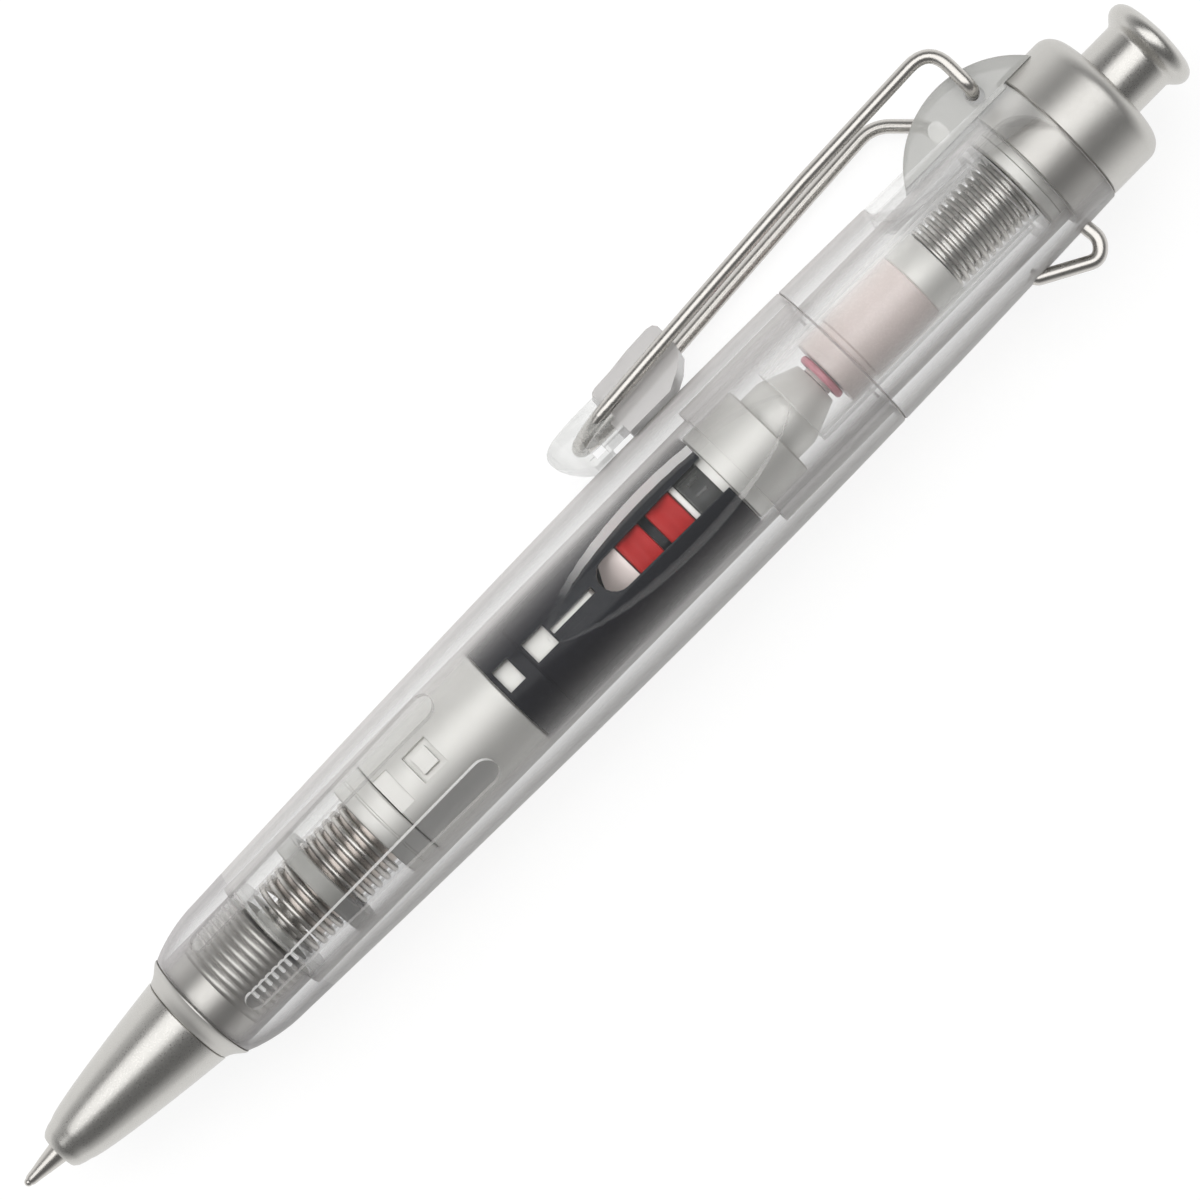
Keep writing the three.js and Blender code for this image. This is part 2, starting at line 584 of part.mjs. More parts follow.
// Front stack: spring seat, return spring, collar, nut, refill holder and pressure cylinder
function addFrontStack() {
  const around = REFILL_TUBE_RADIUS + SLIDE_GAP;
  const inBore = MAIN_BORE - SEAM;
  addPiece("spring_seat", tube(seatFront + SEAM, seatRear, around + 0.3, inBore), "blackPlastic");
  const springFront = seatRear + 0.05;
  addPiece("return_spring", coilSpring("return_spring", springFront, nutFront - 0.05,
    RETURN_SPRING_RADIUS, RETURN_SPRING_TURNS, RETURN_SPRING_WIRE), "steel");
  const collarBore = RETURN_SPRING_RADIUS + RETURN_SPRING_WIRE / 2 + 0.3;
  const collarFront = seatRear + COLLAR_PLACE;
  const collar = tube(collarFront, collarFront + COLLAR_LENGTH, collarBore, inBore);
  addPiece("guide_collar", collar, "clearPlastic");
  const sleeveFront = seatRear + NUT_SLEEVE_GAP;
  addPiece("holder_nut", turned([
    [around, sleeveFront], [NUT_SLEEVE_RADIUS, sleeveFront], [NUT_SLEEVE_RADIUS, nutFront],
    [HOLDER_RADIUS, nutFront], [HOLDER_RADIUS, nutFront + NUT_LENGTH], [around, nutFront + NUT_LENGTH],
  ]), "satinSilver");

  const holderRear = holderFront + HOLDER_LENGTH;
  const spigotRear = cylinderFront + HOLDER_SPIGOT_LENGTH;
  const spigotRadius = CYLINDER_BORE - SEAM;
  let holder = turned([
    [around, holderFront], [HOLDER_RADIUS, holderFront], [HOLDER_RADIUS, holderRear],
    [spigotRadius, holderRear], [spigotRadius, spigotRear], [around, spigotRear],
  ]);
  for (const middle of WINDOW_ANGLES) {
    const { place: start, length, half, depth } = HOLDER_LATCH;
    const latch = [start, start + length].map((place) => ({
      place: holderFront + place, inner: HOLDER_RADIUS - depth, outer: HOLDER_RADIUS + 1, half,
    }));
    holder = holder.subtract(band(latch, middle));
  }
  addPiece("refill_holder", holder, "satinSilver");

  let cylinder = tube(cylinderFront, cylinderRear, CYLINDER_BORE, CYLINDER_RADIUS);
  for (const middle of WINDOW_ANGLES) {
    for (const { place, length, half } of [SIGHT_SLOT, LATCH_SLOT, REAR_LATCH_SLOT]) {
      const start = cylinderFront + place;
      const rounded = [[0, 0.35], [0.3 * SLOT_NOSE, 0.7], [SLOT_NOSE, 1]];
      const opening = place === SIGHT_SLOT.place ? rounded : [[0, 1]];
      const stations = [...opening, [length, 1]].map(([along, part]) => ({
        place: start + along, inner: CYLINDER_BORE - 1, outer: CYLINDER_RADIUS + 1, half: half * part,
      }));
      cylinder = cylinder.subtract(band(stations, middle));
    }
  }
  addPiece("pressure_cylinder", cylinder, "blackPlastic");
  const endSpigotFront = cylinderRear - CYLINDER_END_SPIGOT;
  addPiece("cylinder_end", turned([
    [CYLINDER_END_BORE, endSpigotFront], [CYLINDER_BORE - SEAM, endSpigotFront],
    [CYLINDER_BORE - SEAM, endFront], [CYLINDER_END_RADIUS, endFront],
    [CYLINDER_END_RADIUS, endRear], [CYLINDER_END_BORE, endRear],
  ]), "satinSilver");
}

// Piston with its two seals, on the rod that reaches back to the knob
function addPiston() {
  const coreRear = spacerFront + SPACER_LENGTH;
  const stem = ROD_RADIUS + 1.3;
  const rodFront = stopFront + 0.4;
  addPiece("piston_head", turned([
    [0, pistonNose], [0.23 * PISTON_RADIUS, pistonNose + 0.15],
    [0.67 * PISTON_RADIUS, pistonNose + 0.45 * PISTON_NOSE_LENGTH],
    [PISTON_RADIUS, pistonNose + 0.93 * PISTON_NOSE_LENGTH], [PISTON_RADIUS, sealFront - SEAM],
    [PISTON_CORE_RADIUS, sealFront - SEAM], [PISTON_CORE_RADIUS, coreRear],
    [stem, coreRear], [stem, pistonRear], [ROD_RADIUS + SEAM, pistonRear],
    [ROD_RADIUS + SEAM, rodFront - SEAM], [0, rodFront - SEAM],
  ]), "pinkPlastic");
  const bore = PISTON_CORE_RADIUS + SEAM;
  const seal = (front) => turned([
    [bore, front], [SEAL_RADIUS - 0.15, front], [SEAL_RADIUS, front + 0.2],
    [SEAL_RADIUS, front + SEAL_LENGTH - 0.2], [SEAL_RADIUS - 0.15, front + SEAL_LENGTH],
    [bore, front + SEAL_LENGTH],
  ]);
  addPiece("piston_seal_front", seal(sealFront), "redRubber");
  addPiece("piston_seal_rear", seal(sealRear), "redRubber");
  const spacer = tube(spacerFront, spacerFront + SPACER_LENGTH, bore, PISTON_RADIUS);
  addPiece("spacer_ring", spacer, "whitePlastic");
  const stopRing = tube(stopFront, stopFront + STOP_RING_LENGTH, stem + SEAM, STOP_RING_RADIUS);
  addPiece("stop_ring", stopRing, "clearPlastic");
  const rod = turned([
    [0, rodFront], [ROD_RADIUS, rodFront], [ROD_RADIUS, capRear], [0, capRear],
  ], SMALL_SIDES);
  addPiece("piston_rod", rod, "steel");
}

// Rear stack: valve cone, plunger, inner tube, rear spring, cam rotor and knock guide
function addRearStack() {
  const rodBore = ROD_RADIUS + SLIDE_GAP;
  const sliding = INNER_TUBE_BORE - SLIDE_GAP;
  const inEnd = CYLINDER_END_BORE - SEAM;
  const collarRear = valveFront + VALVE_COLLAR_LENGTH;
  addPiece("valve_cone", turned([
    [rodBore, valveFront], [inEnd, valveFront], [inEnd, collarRear],
    [sliding, collarRear], [sliding, valveRear - VALVE_TAPER_LENGTH],
    [VALVE_TIP_RADIUS, valveRear], [rodBore, valveRear],
  ]), "satinSilver");
  const ringStart = plungerFront + 0.3;
  const ringStop = ringStart + PLUNGER_RING_LENGTH;
  const waist = sliding - 0.8;
  addPiece("plunger", turned([
    [rodBore, plungerFront], [waist, plungerFront], [waist, ringStop + SEAM], [sliding, ringStop + SEAM],
    [sliding, plungerRear], [rodBore, plungerRear],
  ]), "pinkPlastic");
  addPiece("plunger_ring", tube(ringStart, ringStop, waist + SEAM, sliding), "redRubber");
  const flangeFront = innerTubeRear - TUBE_FLANGE_LENGTH;
  addPiece("inner_tube", turned([
    [INNER_TUBE_BORE, innerTubeFront], [INNER_TUBE_RADIUS, innerTubeFront],
    [INNER_TUBE_RADIUS, flangeFront], [spigotBore - SEAM, flangeFront],
    [spigotBore - SEAM, innerTubeRear], [INNER_TUBE_BORE, innerTubeRear],
  ]), "clearPlastic");
  addPiece("rear_spring", coilSpring("rear_spring", rearSpringFront, rotorFront - SEAM,
    REAR_SPRING_RADIUS, REAR_SPRING_TURNS, REAR_SPRING_WIRE), "steel");

  const sleeveFront = plungerRear + ROTOR_SLEEVE_GAP;
  let rotor = turned([
    [rodBore, sleeveFront], [ROTOR_SLEEVE_RADIUS, sleeveFront], [ROTOR_SLEEVE_RADIUS, rotorFront],
    [ROTOR_RADIUS, rotorFront], [ROTOR_RADIUS, rotorRear], [rodBore, rotorRear],
  ]);
  let guide = turned([
    [GUIDE_BORE, guideFront], [spigotBore - SEAM, guideFront],
    [spigotBore - SEAM, guideFront + GUIDE_FLANGE_LENGTH], [GUIDE_RADIUS, guideFront + GUIDE_FLANGE_LENGTH],
    [GUIDE_RADIUS, guideRear], [GUIDE_BORE, guideRear],
  ]);
  for (let lug = 0; lug < LUGS; lug++) {
    const middle = (360 / LUGS) * lug;
    const lugEnds = [rotorRear - LUG_LENGTH, rotorRear].map((place) => ({
      place, inner: ROTOR_RADIUS - 0.5, outer: GUIDE_BORE - SLIDE_GAP, half: LUG_HALF_ANGLE,
    }));
    rotor = rotor.add(band(lugEnds, middle, 2));
    const ribEnds = [ribFront, guideRear].map((place) => ({
      place, inner: KNOB_RADIUS + SLIDE_GAP, outer: GUIDE_BORE + 0.3, half: GUIDE_RIB_HALF_ANGLE,
    }));
    guide = guide.add(band(ribEnds, middle + 180 / LUGS, 4));
  }
  addPiece("cam_rotor", rotor.subtract(camNotches(rotorRear, -1)), "whitePlastic");
  addPiece("knock_guide", guide, "satinSilver");
}

// V-shaped notches round a cam face, cut in the given direction along the pen
function camNotches(face, direction) {
  const notches = Array.from({ length: CAM_TEETH }, (_, i) => {
    const half = 180 / CAM_TEETH;
    const shape = new THREE.Shape([
      new THREE.Vector2(-Math.sin(radians(half)) * KNOB_RADIUS, 0.01),
      new THREE.Vector2(0, -CAM_TOOTH_HEIGHT),
      new THREE.Vector2(Math.sin(radians(half)) * KNOB_RADIUS, 0.01),
    ]);
    const notch = new THREE.ExtrudeGeometry(shape, { depth: KNOB_RADIUS + 2, bevelEnabled: false });
    notch.scale(1, -direction, 1).rotateY(radians((360 / CAM_TEETH) * (i + 0.5)));
    return toSolid(notch.translate(0, face, 0));
  });
  return notches.reduce((joined, notch) => joined.add(notch));
}

function addCapAndKnob() {
  const spigotFace = capFront - CAP_SPIGOT_LENGTH;
  const endWall = capRear - CAP_END_WALL;
  addPiece("end_cap", turned([
    [GUIDE_RADIUS + SEAM, spigotFace], [capSpigotRadius, spigotFace], [capSpigotRadius, capFront],
    [CAP_RADIUS, capFront], [CAP_RADIUS, capRear - 1.6], [0.985 * CAP_RADIUS, capRear - 1],
    [0.94 * CAP_RADIUS, capRear - 0.5], [0.85 * CAP_RADIUS, capRear - 0.15], [0.74 * CAP_RADIUS, capRear],
    [KNOB_RADIUS + SLIDE_GAP, capRear], [KNOB_RADIUS + SLIDE_GAP, endWall], [GUIDE_RADIUS + SEAM, endWall],
  ], OUTER_SIDES), "satinSilver");
  const knobFront = rotorRear + CAM_GAP;
  const beadRear = knobEnd - 0.5;
  const beadFront = knobEnd - KNOB_BEAD_LENGTH;
  const hollow = ROTOR_RADIUS - 0.7;
  const rodHole = ROD_RADIUS + SEAM;
  const knob = turned([
    [hollow, knobFront], [KNOB_RADIUS, knobFront], [KNOB_RADIUS, beadFront],
    [KNOB_RADIUS + 0.15, beadFront + 0.2], [KNOB_BEAD_RADIUS - 0.2, beadFront + 0.75],
    [KNOB_BEAD_RADIUS, beadFront + 1.15], [KNOB_BEAD_RADIUS - 0.1, beadFront + 1.5],
    [KNOB_BEAD_RADIUS - 0.45, beadRear], [KNOB_BEAD_RADIUS - 1.2, knobEnd - 0.15],
    [KNOB_BEAD_RADIUS - 2.2, knobEnd], [0, knobEnd],
    [0, capRear + SEAM], [rodHole, capRear + SEAM], [rodHole, capRear - 3.5], [hollow, capRear - 3.5],
  ], OUTER_SIDES);
  addPiece("knock_knob", knob.subtract(camNotches(knobFront, 1)), "satinSilver");
}

// The curved foot of the clip ear, as the piece or, grown by a clearance, as its place in the barrel
function saddleBand(grow, rise) {
  const front = barrelRear - SADDLE_LENGTH - grow;
  const cut = grow > 0;
  const rear = cut ? barrelRear + 1 : barrelRear - SEAM;
  const bed = capSpigotRadius + SEAM - 0.01;
  const broad = steps(4).map((part) => THREE.MathUtils.lerp(front + SADDLE_SLANT, rear, part));
  const stations = [front, ...broad].map((place, i) => {
    const radius = barrelRadius(place);
    const half = (i ? 1 : SADDLE_FRONT_SHARE) * SADDLE_HALF_ANGLE + THREE.MathUtils.radToDeg(grow / radius);
    const inner = cut ? bed : Math.max(bed + SEAM, radius - SADDLE_THICKNESS);
    return { place, inner, outer: radius + rise, half };
  });
  return band(stations, 90, 8);
}

// A pin hole in the ear, long enough for the pin to swing about the hinge line
function pinSlot(side) {
  const hinge = new THREE.Vector3(0, hingePlace, CLIP_HINGE_HEIGHT);
  const depth = CLIP_PIN_DEPTH + 0.2;
  const parts = steps(3).map((part) => {
    const hole = new THREE.CylinderGeometry(CLIP_WIRE_RADIUS + 0.12, CLIP_WIRE_RADIUS + 0.12, depth + 1, 12);
    hole.rotateZ(Math.PI / 2);
    const middle = side * (EAR_THICKNESS / 2 - depth + (depth + 1) / 2);
    const pin = new THREE.Vector3(middle, side * CLIP_PIVOT_OFFSET, 0);
    pin.applyAxisAngle(new THREE.Vector3(-1, 0, 0), radians(CLIP_OPENS) * part).add(hinge);
    return toSolid(hole.translate(pin.x, pin.y, pin.z));
  });
  return parts.reduce((joined, part) => joined.add(part));
}

function addEar() {
  const disc = new THREE.CylinderGeometry(EAR_RADIUS, EAR_RADIUS, EAR_THICKNESS, 48);
  disc.rotateZ(Math.PI / 2).translate(0, earCentre, EAR_CENTRE_HEIGHT);
  const keepOut = turned([
    [0, earCentre - EAR_RADIUS - 1], [barrelRadius(barrelRear) - 0.3, earCentre - EAR_RADIUS - 1],
    [barrelRadius(barrelRear) - 0.3, barrelRear - 0.5], [CAP_RADIUS + SEAT_GAP, barrelRear - 0.5],
    [CAP_RADIUS + SEAT_GAP, knobEnd], [0, knobEnd],
  ], OUTER_SIDES);
  const above = new THREE.BoxGeometry(4 * EAR_RADIUS, 4 * EAR_RADIUS, EAR_RADIUS)
    .translate(0, earCentre, EAR_RADIUS / 2 + EAR_FROM);
  const plate = toSolid(disc).intersect(toSolid(above)).subtract(keepOut);
  let ear = plate.add(saddleBand(0, 0));
  for (const side of [-1, 1]) ear = ear.subtract(pinSlot(side));
  addPiece("clip_ear", ear, "clearPlastic");
}

// Height of the clip wire's middle over the axis, at a place along the pen
function clipHeight(place) {
  const part = (place - hairpinEnd) / (CLIP_LENGTH - CLIP_BEND);
  return CLIP_TOP_HEIGHT - (CLIP_TOP_HEIGHT - CLIP_END_HEIGHT) * Math.max(0, 1 - part) ** CLIP_SAG_POWER;
}

// The middle line of the clip wire: near pin, near leg, hairpin, far leg, far pin
function clipLine() {
  const pinEnd = EAR_THICKNESS / 2 - CLIP_PIN_DEPTH;
  const at = (x, place, height, bend) => ({ point: new THREE.Vector3(x, place, height), bend });
  const nearLeg = hingePlace + CLIP_PIVOT_OFFSET;
  const farLeg = hingePlace - CLIP_PIVOT_OFFSET;
  const farTop = farLeg - FAR_LEG_LEAN;
  const bendPlace = hairpinEnd + CLIP_HALF_WIDTH;
  const near = (place) => at(CLIP_HALF_WIDTH, place, clipHeight(place), 12);
  const far = (place) => at(-CLIP_HALF_WIDTH, place, clipHeight(place), 12);
  const runs = [0.75, 0.45, 0.2].map((part) => THREE.MathUtils.lerp(bendPlace, farTop, part));
  const hairpin = steps(8).slice(1, -1).map((part) => {
    const angle = Math.PI * part;
    const place = bendPlace - CLIP_HALF_WIDTH * Math.sin(angle);
    return at(CLIP_HALF_WIDTH * Math.cos(angle), place, clipHeight(place), 1);
  });
  return bentLine([
    at(pinEnd, nearLeg, CLIP_HINGE_HEIGHT, 0), at(CLIP_HALF_WIDTH, nearLeg, CLIP_HINGE_HEIGHT, 1),
    at(CLIP_HALF_WIDTH, nearLeg + 0.1, clipHeight(nearLeg), CLIP_BEND),
    ...runs.map(near), near(bendPlace), ...hairpin, far(bendPlace), ...runs.map(far).reverse(),
    at(-CLIP_HALF_WIDTH, farTop, clipHeight(farTop), CLIP_BEND),
    at(-CLIP_HALF_WIDTH, farLeg - 0.1, CLIP_HINGE_HEIGHT + 1.6, 1.2),
    at(-CLIP_HALF_WIDTH, farLeg, CLIP_HINGE_HEIGHT, 1), at(-pinEnd, farLeg, CLIP_HINGE_HEIGHT, 0),
  ], 3);
}

// A block with its side outline drawn as [place, height] pairs
function sideBlock(outline, halfWidth) {
  const shape = new THREE.Shape(outline.map(([place, height]) => new THREE.Vector2(place, height)));
  const block = new THREE.ExtrudeGeometry(shape, { depth: 2 * halfWidth, bevelEnabled: false });
  block.translate(0, 0, -halfWidth);
  block.applyMatrix4(new THREE.Matrix4().set(0, 0, 1, 0, 1, 0, 0, 0, 0, 1, 0, 0, 0, 0, 0, 1));
  return toSolid(block);
}

function addClip() {
  const line = clipLine();
  const clip = new THREE.Group();
  clip.position.set(0, hingePlace, CLIP_HINGE_HEIGHT);
  const toHinge = (solid) => toSolid(toGeometry(solid).translate(0, -hingePlace, -CLIP_HINGE_HEIGHT));
  addPiece("clip_wire", toHinge(wire(line, CLIP_WIRE_RADIUS)), "steel", clip);

  const nose = hairpinEnd - 2.7;
  const rear = nose + SHOE_LENGTH;
  const foot = barrelRadius(windowCentre) + SEAT_GAP;
  const top = CLIP_END_HEIGHT + SHOE_TOP;
  const outline = [
    [nose + 0.1, foot + 2.3], [nose + 0.5, foot + 1.6], [nose + 2.2, foot + 0.1], [nose + 2.6, foot],
    [nose + 4.2, foot], [nose + 4.2, foot + 0.7], [nose + 6.2, foot + 0.7], [nose + 6.2, foot],
    [nose + 10.5, foot], [nose + 13.3, foot + 2.1], [rear, foot + 2.5], [rear, top + 0.4],
    [rear - 0.5, top + 0.8], [nose + 7.3, top + 0.5], [nose + 6.5, top], [nose + 1.7, top],
    [nose + 0.6, top - 0.6], [nose, top - 1.6],
  ];
  const plan = new THREE.CylinderGeometry(SHOE_NOSE_RADIUS, SHOE_NOSE_RADIUS, 4 * EAR_RADIUS, 32);
  plan.rotateX(Math.PI / 2).translate(0, nose + SHOE_NOSE_RADIUS, 0);
  const noseRear = nose + SHOE_NOSE_RADIUS + 0.4;
  const cheeks = sideBlock(
    [[nose, foot + 1.4], [noseRear, foot + 1.4], [noseRear, top], [nose, top]], SHOE_NOSE_RADIUS,
  );
  let shoe = sideBlock(outline, SHOE_NOSE_RADIUS).intersect(toSolid(plan)).intersect(cheeks);
  const noseMiddle = nose + SHOE_NOSE_RADIUS;
  const behindNose = sideBlock(
    [[noseMiddle, 0], [rear + 1, 0], [rear + 1, top + 2], [noseMiddle, top + 2]], SHOE_HALF_WIDTH,
  );
  const tongue = sideBlock(outline, SHOE_HALF_WIDTH).intersect(toSolid(plan).add(behindNose));
  shoe = shoe.add(tongue).subtract(wire(line, CLIP_WIRE_RADIUS + WIRE_GROOVE_GAP));
  const slot = sideBlock([
    [nose + 3, foot + 0.8], [nose + 4.1, foot + 0.8], [nose + 4.1, foot + 1.4], [nose + 3, foot + 1.4],
  ], SHOE_NOSE_RADIUS);
  addPiece("clip_shoe", toHinge(shoe.subtract(slot)), "clearPlastic", clip);
  pen.add(clip);
}

// The lanyard loop's middle line, and the short straight legs that enter the barrel
function loopCorners() {
  const slanted = loopLeg - LOOP_WIDTH;
  const at = (place, depth, bend) => ({ point: new THREE.Vector3(0, place, -depth), bend });
  return [
    at(slanted, LOOP_ROOT, 0), at(slanted + 0.3, LOOP_ROOT + 0.6, 0.6),
    at(loopLeg - 1.2, LOOP_DEPTH + 0.4, 1), at(loopLeg + 0.25, LOOP_DEPTH - 0.3, 1),
    at(loopLeg, LOOP_ROOT, 0),
  ];
}

function loopLegs() {
  const line = bentLine(loopCorners());
  return [[line[0], ...line.slice(1, 8)], line.slice(-6)];
}

function addLoop() {
  addPiece("lanyard_loop", wire(bentLine(loopCorners()), LOOP_WIRE_RADIUS), "steel");
}

addNose();
addRefill();
addBarrel();
addFrontStack();
addPiston();
addRearStack();
addCapAndKnob();
addEar();
addClip();
addLoop();

// The pen lies on its belly and on the far cheek of its clip shoe, so it rolls until both touch
// the floor
const contactHeight = CLIP_END_HEIGHT + SHOE_TOP;
const reach = Math.hypot(contactHeight, SHOE_NOSE_RADIUS);
const clipFromDown = Math.atan2(SHOE_NOSE_RADIUS, contactHeight) + Math.acos(BELLY_RADIUS / reach);
const clipDrop = Math.PI / 2 - clipFromDown;
const [level, drop] = [Math.cos(clipDrop), Math.sin(clipDrop)];
const lying = new THREE.Matrix4().set(0, -1, 0, 0, -drop, 0, -level, 0, level, 0, -drop, 0, 0, 0, 0, 1);
pen.setRotationFromMatrix(lying);
console.log(`clip side ${THREE.MathUtils.radToDeg(clipDrop).toFixed(2)} degrees below level`);

const group = new THREE.Group();
group.add(pen);
group.updateMatrixWorld(true);
const bounds = new THREE.Box3().setFromObject(group, true);
const middle = bounds.getCenter(new THREE.Vector3());
pen.position.set(-middle.x, -middle.y, -bounds.min.z);
console.log(`size ${bounds.getSize(new THREE.Vector3()).toArray().map((v) => v.toFixed(2)).join(" x ")} mm`);
group.updateMatrixWorld(true);

export default group;
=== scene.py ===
"""Looks of a pressurised knock ballpoint pen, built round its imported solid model.

Pieces are modelled on a bench, in millimetres: the writing point is the origin, the pen runs along
-X, its clip side is -Y and its near window faces +Z. Each finished piece is laid on the floor, in
the frame's metres.
"""

import json
import math

import bpy
from bpy.props import FloatProperty, FloatVectorProperty, IntProperty, PointerProperty
from mathutils import Matrix, Vector

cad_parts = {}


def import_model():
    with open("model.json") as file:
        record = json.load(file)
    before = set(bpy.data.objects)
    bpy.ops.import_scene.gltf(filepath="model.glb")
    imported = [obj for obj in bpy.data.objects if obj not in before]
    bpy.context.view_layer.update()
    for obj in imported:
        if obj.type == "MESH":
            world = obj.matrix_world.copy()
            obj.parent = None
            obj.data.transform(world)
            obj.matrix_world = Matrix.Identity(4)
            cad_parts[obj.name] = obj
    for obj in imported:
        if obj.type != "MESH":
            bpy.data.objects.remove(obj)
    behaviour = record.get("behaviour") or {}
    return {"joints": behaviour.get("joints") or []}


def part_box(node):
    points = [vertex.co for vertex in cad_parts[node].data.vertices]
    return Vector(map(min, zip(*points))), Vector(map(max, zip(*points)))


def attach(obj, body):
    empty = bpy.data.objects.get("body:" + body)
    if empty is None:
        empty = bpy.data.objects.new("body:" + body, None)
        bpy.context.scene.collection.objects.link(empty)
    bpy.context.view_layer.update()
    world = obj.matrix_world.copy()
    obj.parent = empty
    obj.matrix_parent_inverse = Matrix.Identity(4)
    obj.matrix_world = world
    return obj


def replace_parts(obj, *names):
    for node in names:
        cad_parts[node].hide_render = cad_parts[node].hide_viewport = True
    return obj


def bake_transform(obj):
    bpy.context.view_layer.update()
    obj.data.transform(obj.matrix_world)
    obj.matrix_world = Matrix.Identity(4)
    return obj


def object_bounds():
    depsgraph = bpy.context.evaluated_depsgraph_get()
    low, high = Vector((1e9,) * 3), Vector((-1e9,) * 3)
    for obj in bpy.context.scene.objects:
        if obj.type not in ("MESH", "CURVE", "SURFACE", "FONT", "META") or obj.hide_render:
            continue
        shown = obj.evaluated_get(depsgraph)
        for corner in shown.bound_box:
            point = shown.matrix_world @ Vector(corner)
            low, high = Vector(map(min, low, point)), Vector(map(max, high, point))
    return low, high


bl_info = {
    "name": "Pressurised Ballpoint Pen",
    "version": (1, 0, 0),
    "blender": (4, 5, 0),
    "location": "View3D > Sidebar > Pen",
    "description": "Builds the visible pieces of a see-through ballpoint pen",
    "category": "Object",
}

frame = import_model()
CAD_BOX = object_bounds()

MM = 0.001
MICROMETRE = 0.000001
MIX_COLOURS_IN = (6, 7)
MIX_COLOUR_OUT = 2
TIP_X = CAD_BOX[1].x / MM
KNOB_LOW, KNOB_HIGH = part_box("knock_knob")
AXIS_Y = (KNOB_LOW.y + KNOB_HIGH.y) / 2 / MM
AXIS_Z = (KNOB_LOW.z + KNOB_HIGH.z) / 2 / MM
CLIP_HINGE = next(joint for joint in frame["joints"] if joint["name"] == "clip_hinge")
ROLL = math.atan2(CLIP_HINGE["axis"][1], -CLIP_HINGE["axis"][2])
BENCH_TO_FLOOR = (
    Matrix.Scale(MM, 4)
    @ Matrix.Translation((TIP_X, AXIS_Y, AXIS_Z))
    @ Matrix.Rotation(ROLL, 4, "X")
)


def span(node):
    """The places, in mm from the writing point, where a solid starts and ends"""
    low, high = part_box(node)
    return TIP_X - high.x / MM, TIP_X - low.x / MM


BARREL_FRONT, BARREL_SEAM = span("barrel_lower")
SPIGOT_FRONT, BARREL_REAR = span("barrel_upper")
WINDOW_FRONT, WINDOW_REAR = span("window_lens_near")
WINDOW_MIDDLE = (WINDOW_FRONT + WINDOW_REAR) / 2
SEAM = 0.1
THREAD_PITCH = 0.68
MAIN_BORE = 5.15
THREAD_BORE = 4.5
SPIGOT_OUTER = 5.75
SPIGOT_BORE = 5.05
CAP_SEAT_RADIUS = 5.75
FRONT_RADIUS = 6
BELLY_RADIUS = 7.05
FRONT_CURVE = 5
HINGE_PLACE = BARREL_REAR - 4
HINGE_HEIGHT = 6.8
FOOT_LENGTH = 14.3
FOOT_CURVE = 2.6
FOOT_FILLET = 3.1
EAR_HALF = 2.9
PIN_OFFSET = 1.77
PIN_TRAVEL = 0.46
PIN_HOLE_RADIUS = 0.68
CLIP_REACH = 38.7
CLIP_HALF = 4.3
COIL_POINTS = 24
SLANT = math.radians(45.45)
CAMERA_TILT = math.radians(6.2)
CAMERA_DISTANCE = 0.3846


# Sizes and colours

class PenSizes(bpy.types.PropertyGroup):
    """Sizes that shape the visible pieces"""

    turned_sides: IntProperty(
        name="Turned sides", description="Faces round each turned piece", default=96, min=24, max=192)
    wire_sides: IntProperty(
        name="Wire sides", description="Faces round each wire", default=16, min=6, max=32)
    return_turns: FloatProperty(
        name="Return spring turns", description="Turns of the front spring", default=11, min=3, max=16)
    rear_turns: FloatProperty(
        name="Rear spring turns", description="Turns of the rear spring", default=15, min=3, max=22)
    groove_depth: FloatProperty(
        name="Groove depth", description="Depth of the finger grooves, in mm", default=0.42, min=0.1, max=0.6)
    rib_count: IntProperty(
        name="Groove ribs", description="Cross ribs in each finger groove", default=7, min=0, max=12)
    rib_pitch: FloatProperty(
        name="Rib pitch", description="From rib to rib, in mm", default=0.7, min=0.4, max=1.5)
    edge_ease: FloatProperty(
        name="Edge rounding", description="Rounding of moulded edges, in mm", default=0.08, min=0, max=0.3)


def colour(name, description, value):
    return FloatVectorProperty(
        name=name, description=description, subtype="COLOR", size=3, min=0, max=1, default=value)


class PenColours(bpy.types.PropertyGroup):
    """Colours of the finishes, scene linear"""

    silver: colour("Satin silver", "Painted nose, cap and knob", (0.60, 0.588, 0.562))
    inner_silver: colour("Inner silver", "Sleeves inside the barrel", (0.68, 0.675, 0.65))
    steel: colour("Steel wire", "Clip, loop and springs", (0.60, 0.58, 0.55))
    frosted: colour("Frosted plastic", "Barrel", (0.51, 0.495, 0.487))
    clear: colour("Clear plastic", "Windows and shoe", (0.66, 0.665, 0.645))
    # Colour of painted highlights: window rim, groove lip and far pin hole; also the white of the inner tube
    # and the saddle
    rim: colour("Window rim", "Light that the window's edge catches", (0.95, 0.95, 0.94))
    front: colour("Barrel front", "Thick front end of the barrel", (0.40, 0.385, 0.385))
    ear: colour("Ear plastic", "Half-disc that holds the clip", (0.40, 0.40, 0.38))
    # Painted shade, for the floor of the lower near finger groove and the near pin hole
    shade: colour("Groove shade", "Floor of the lower finger groove", (0.13, 0.13, 0.14))
    bronze: colour("Bronze", "Guide of the return spring", (0.50, 0.45, 0.41))
    black: colour("Black plastic", "Pressure cylinder", (0.012, 0.013, 0.017))
    red: colour("Red rubber", "Piston seals", (0.37, 0.012, 0.012))
    rose: colour("Rose rubber", "Ring in front of the plunger", (0.5, 0.19, 0.23))
    pink: colour("Pale pink plastic", "Piston nose and plunger", (0.56, 0.495, 0.475))
    white: colour("White plastic", "Nut and spacer", (0.72, 0.71, 0.69))
    floor: colour("Floor", "Surface that the pen lies on", (0.82, 0.82, 0.81))


# Finishes

def add_node(tree, kind, **settings):
    node = tree.nodes.new(kind)
    for key, value in settings.items():
        if hasattr(node, key):
            setattr(node, key, value)
        else:
            node.inputs[key.replace("_", " ")].default_value = value
    return node


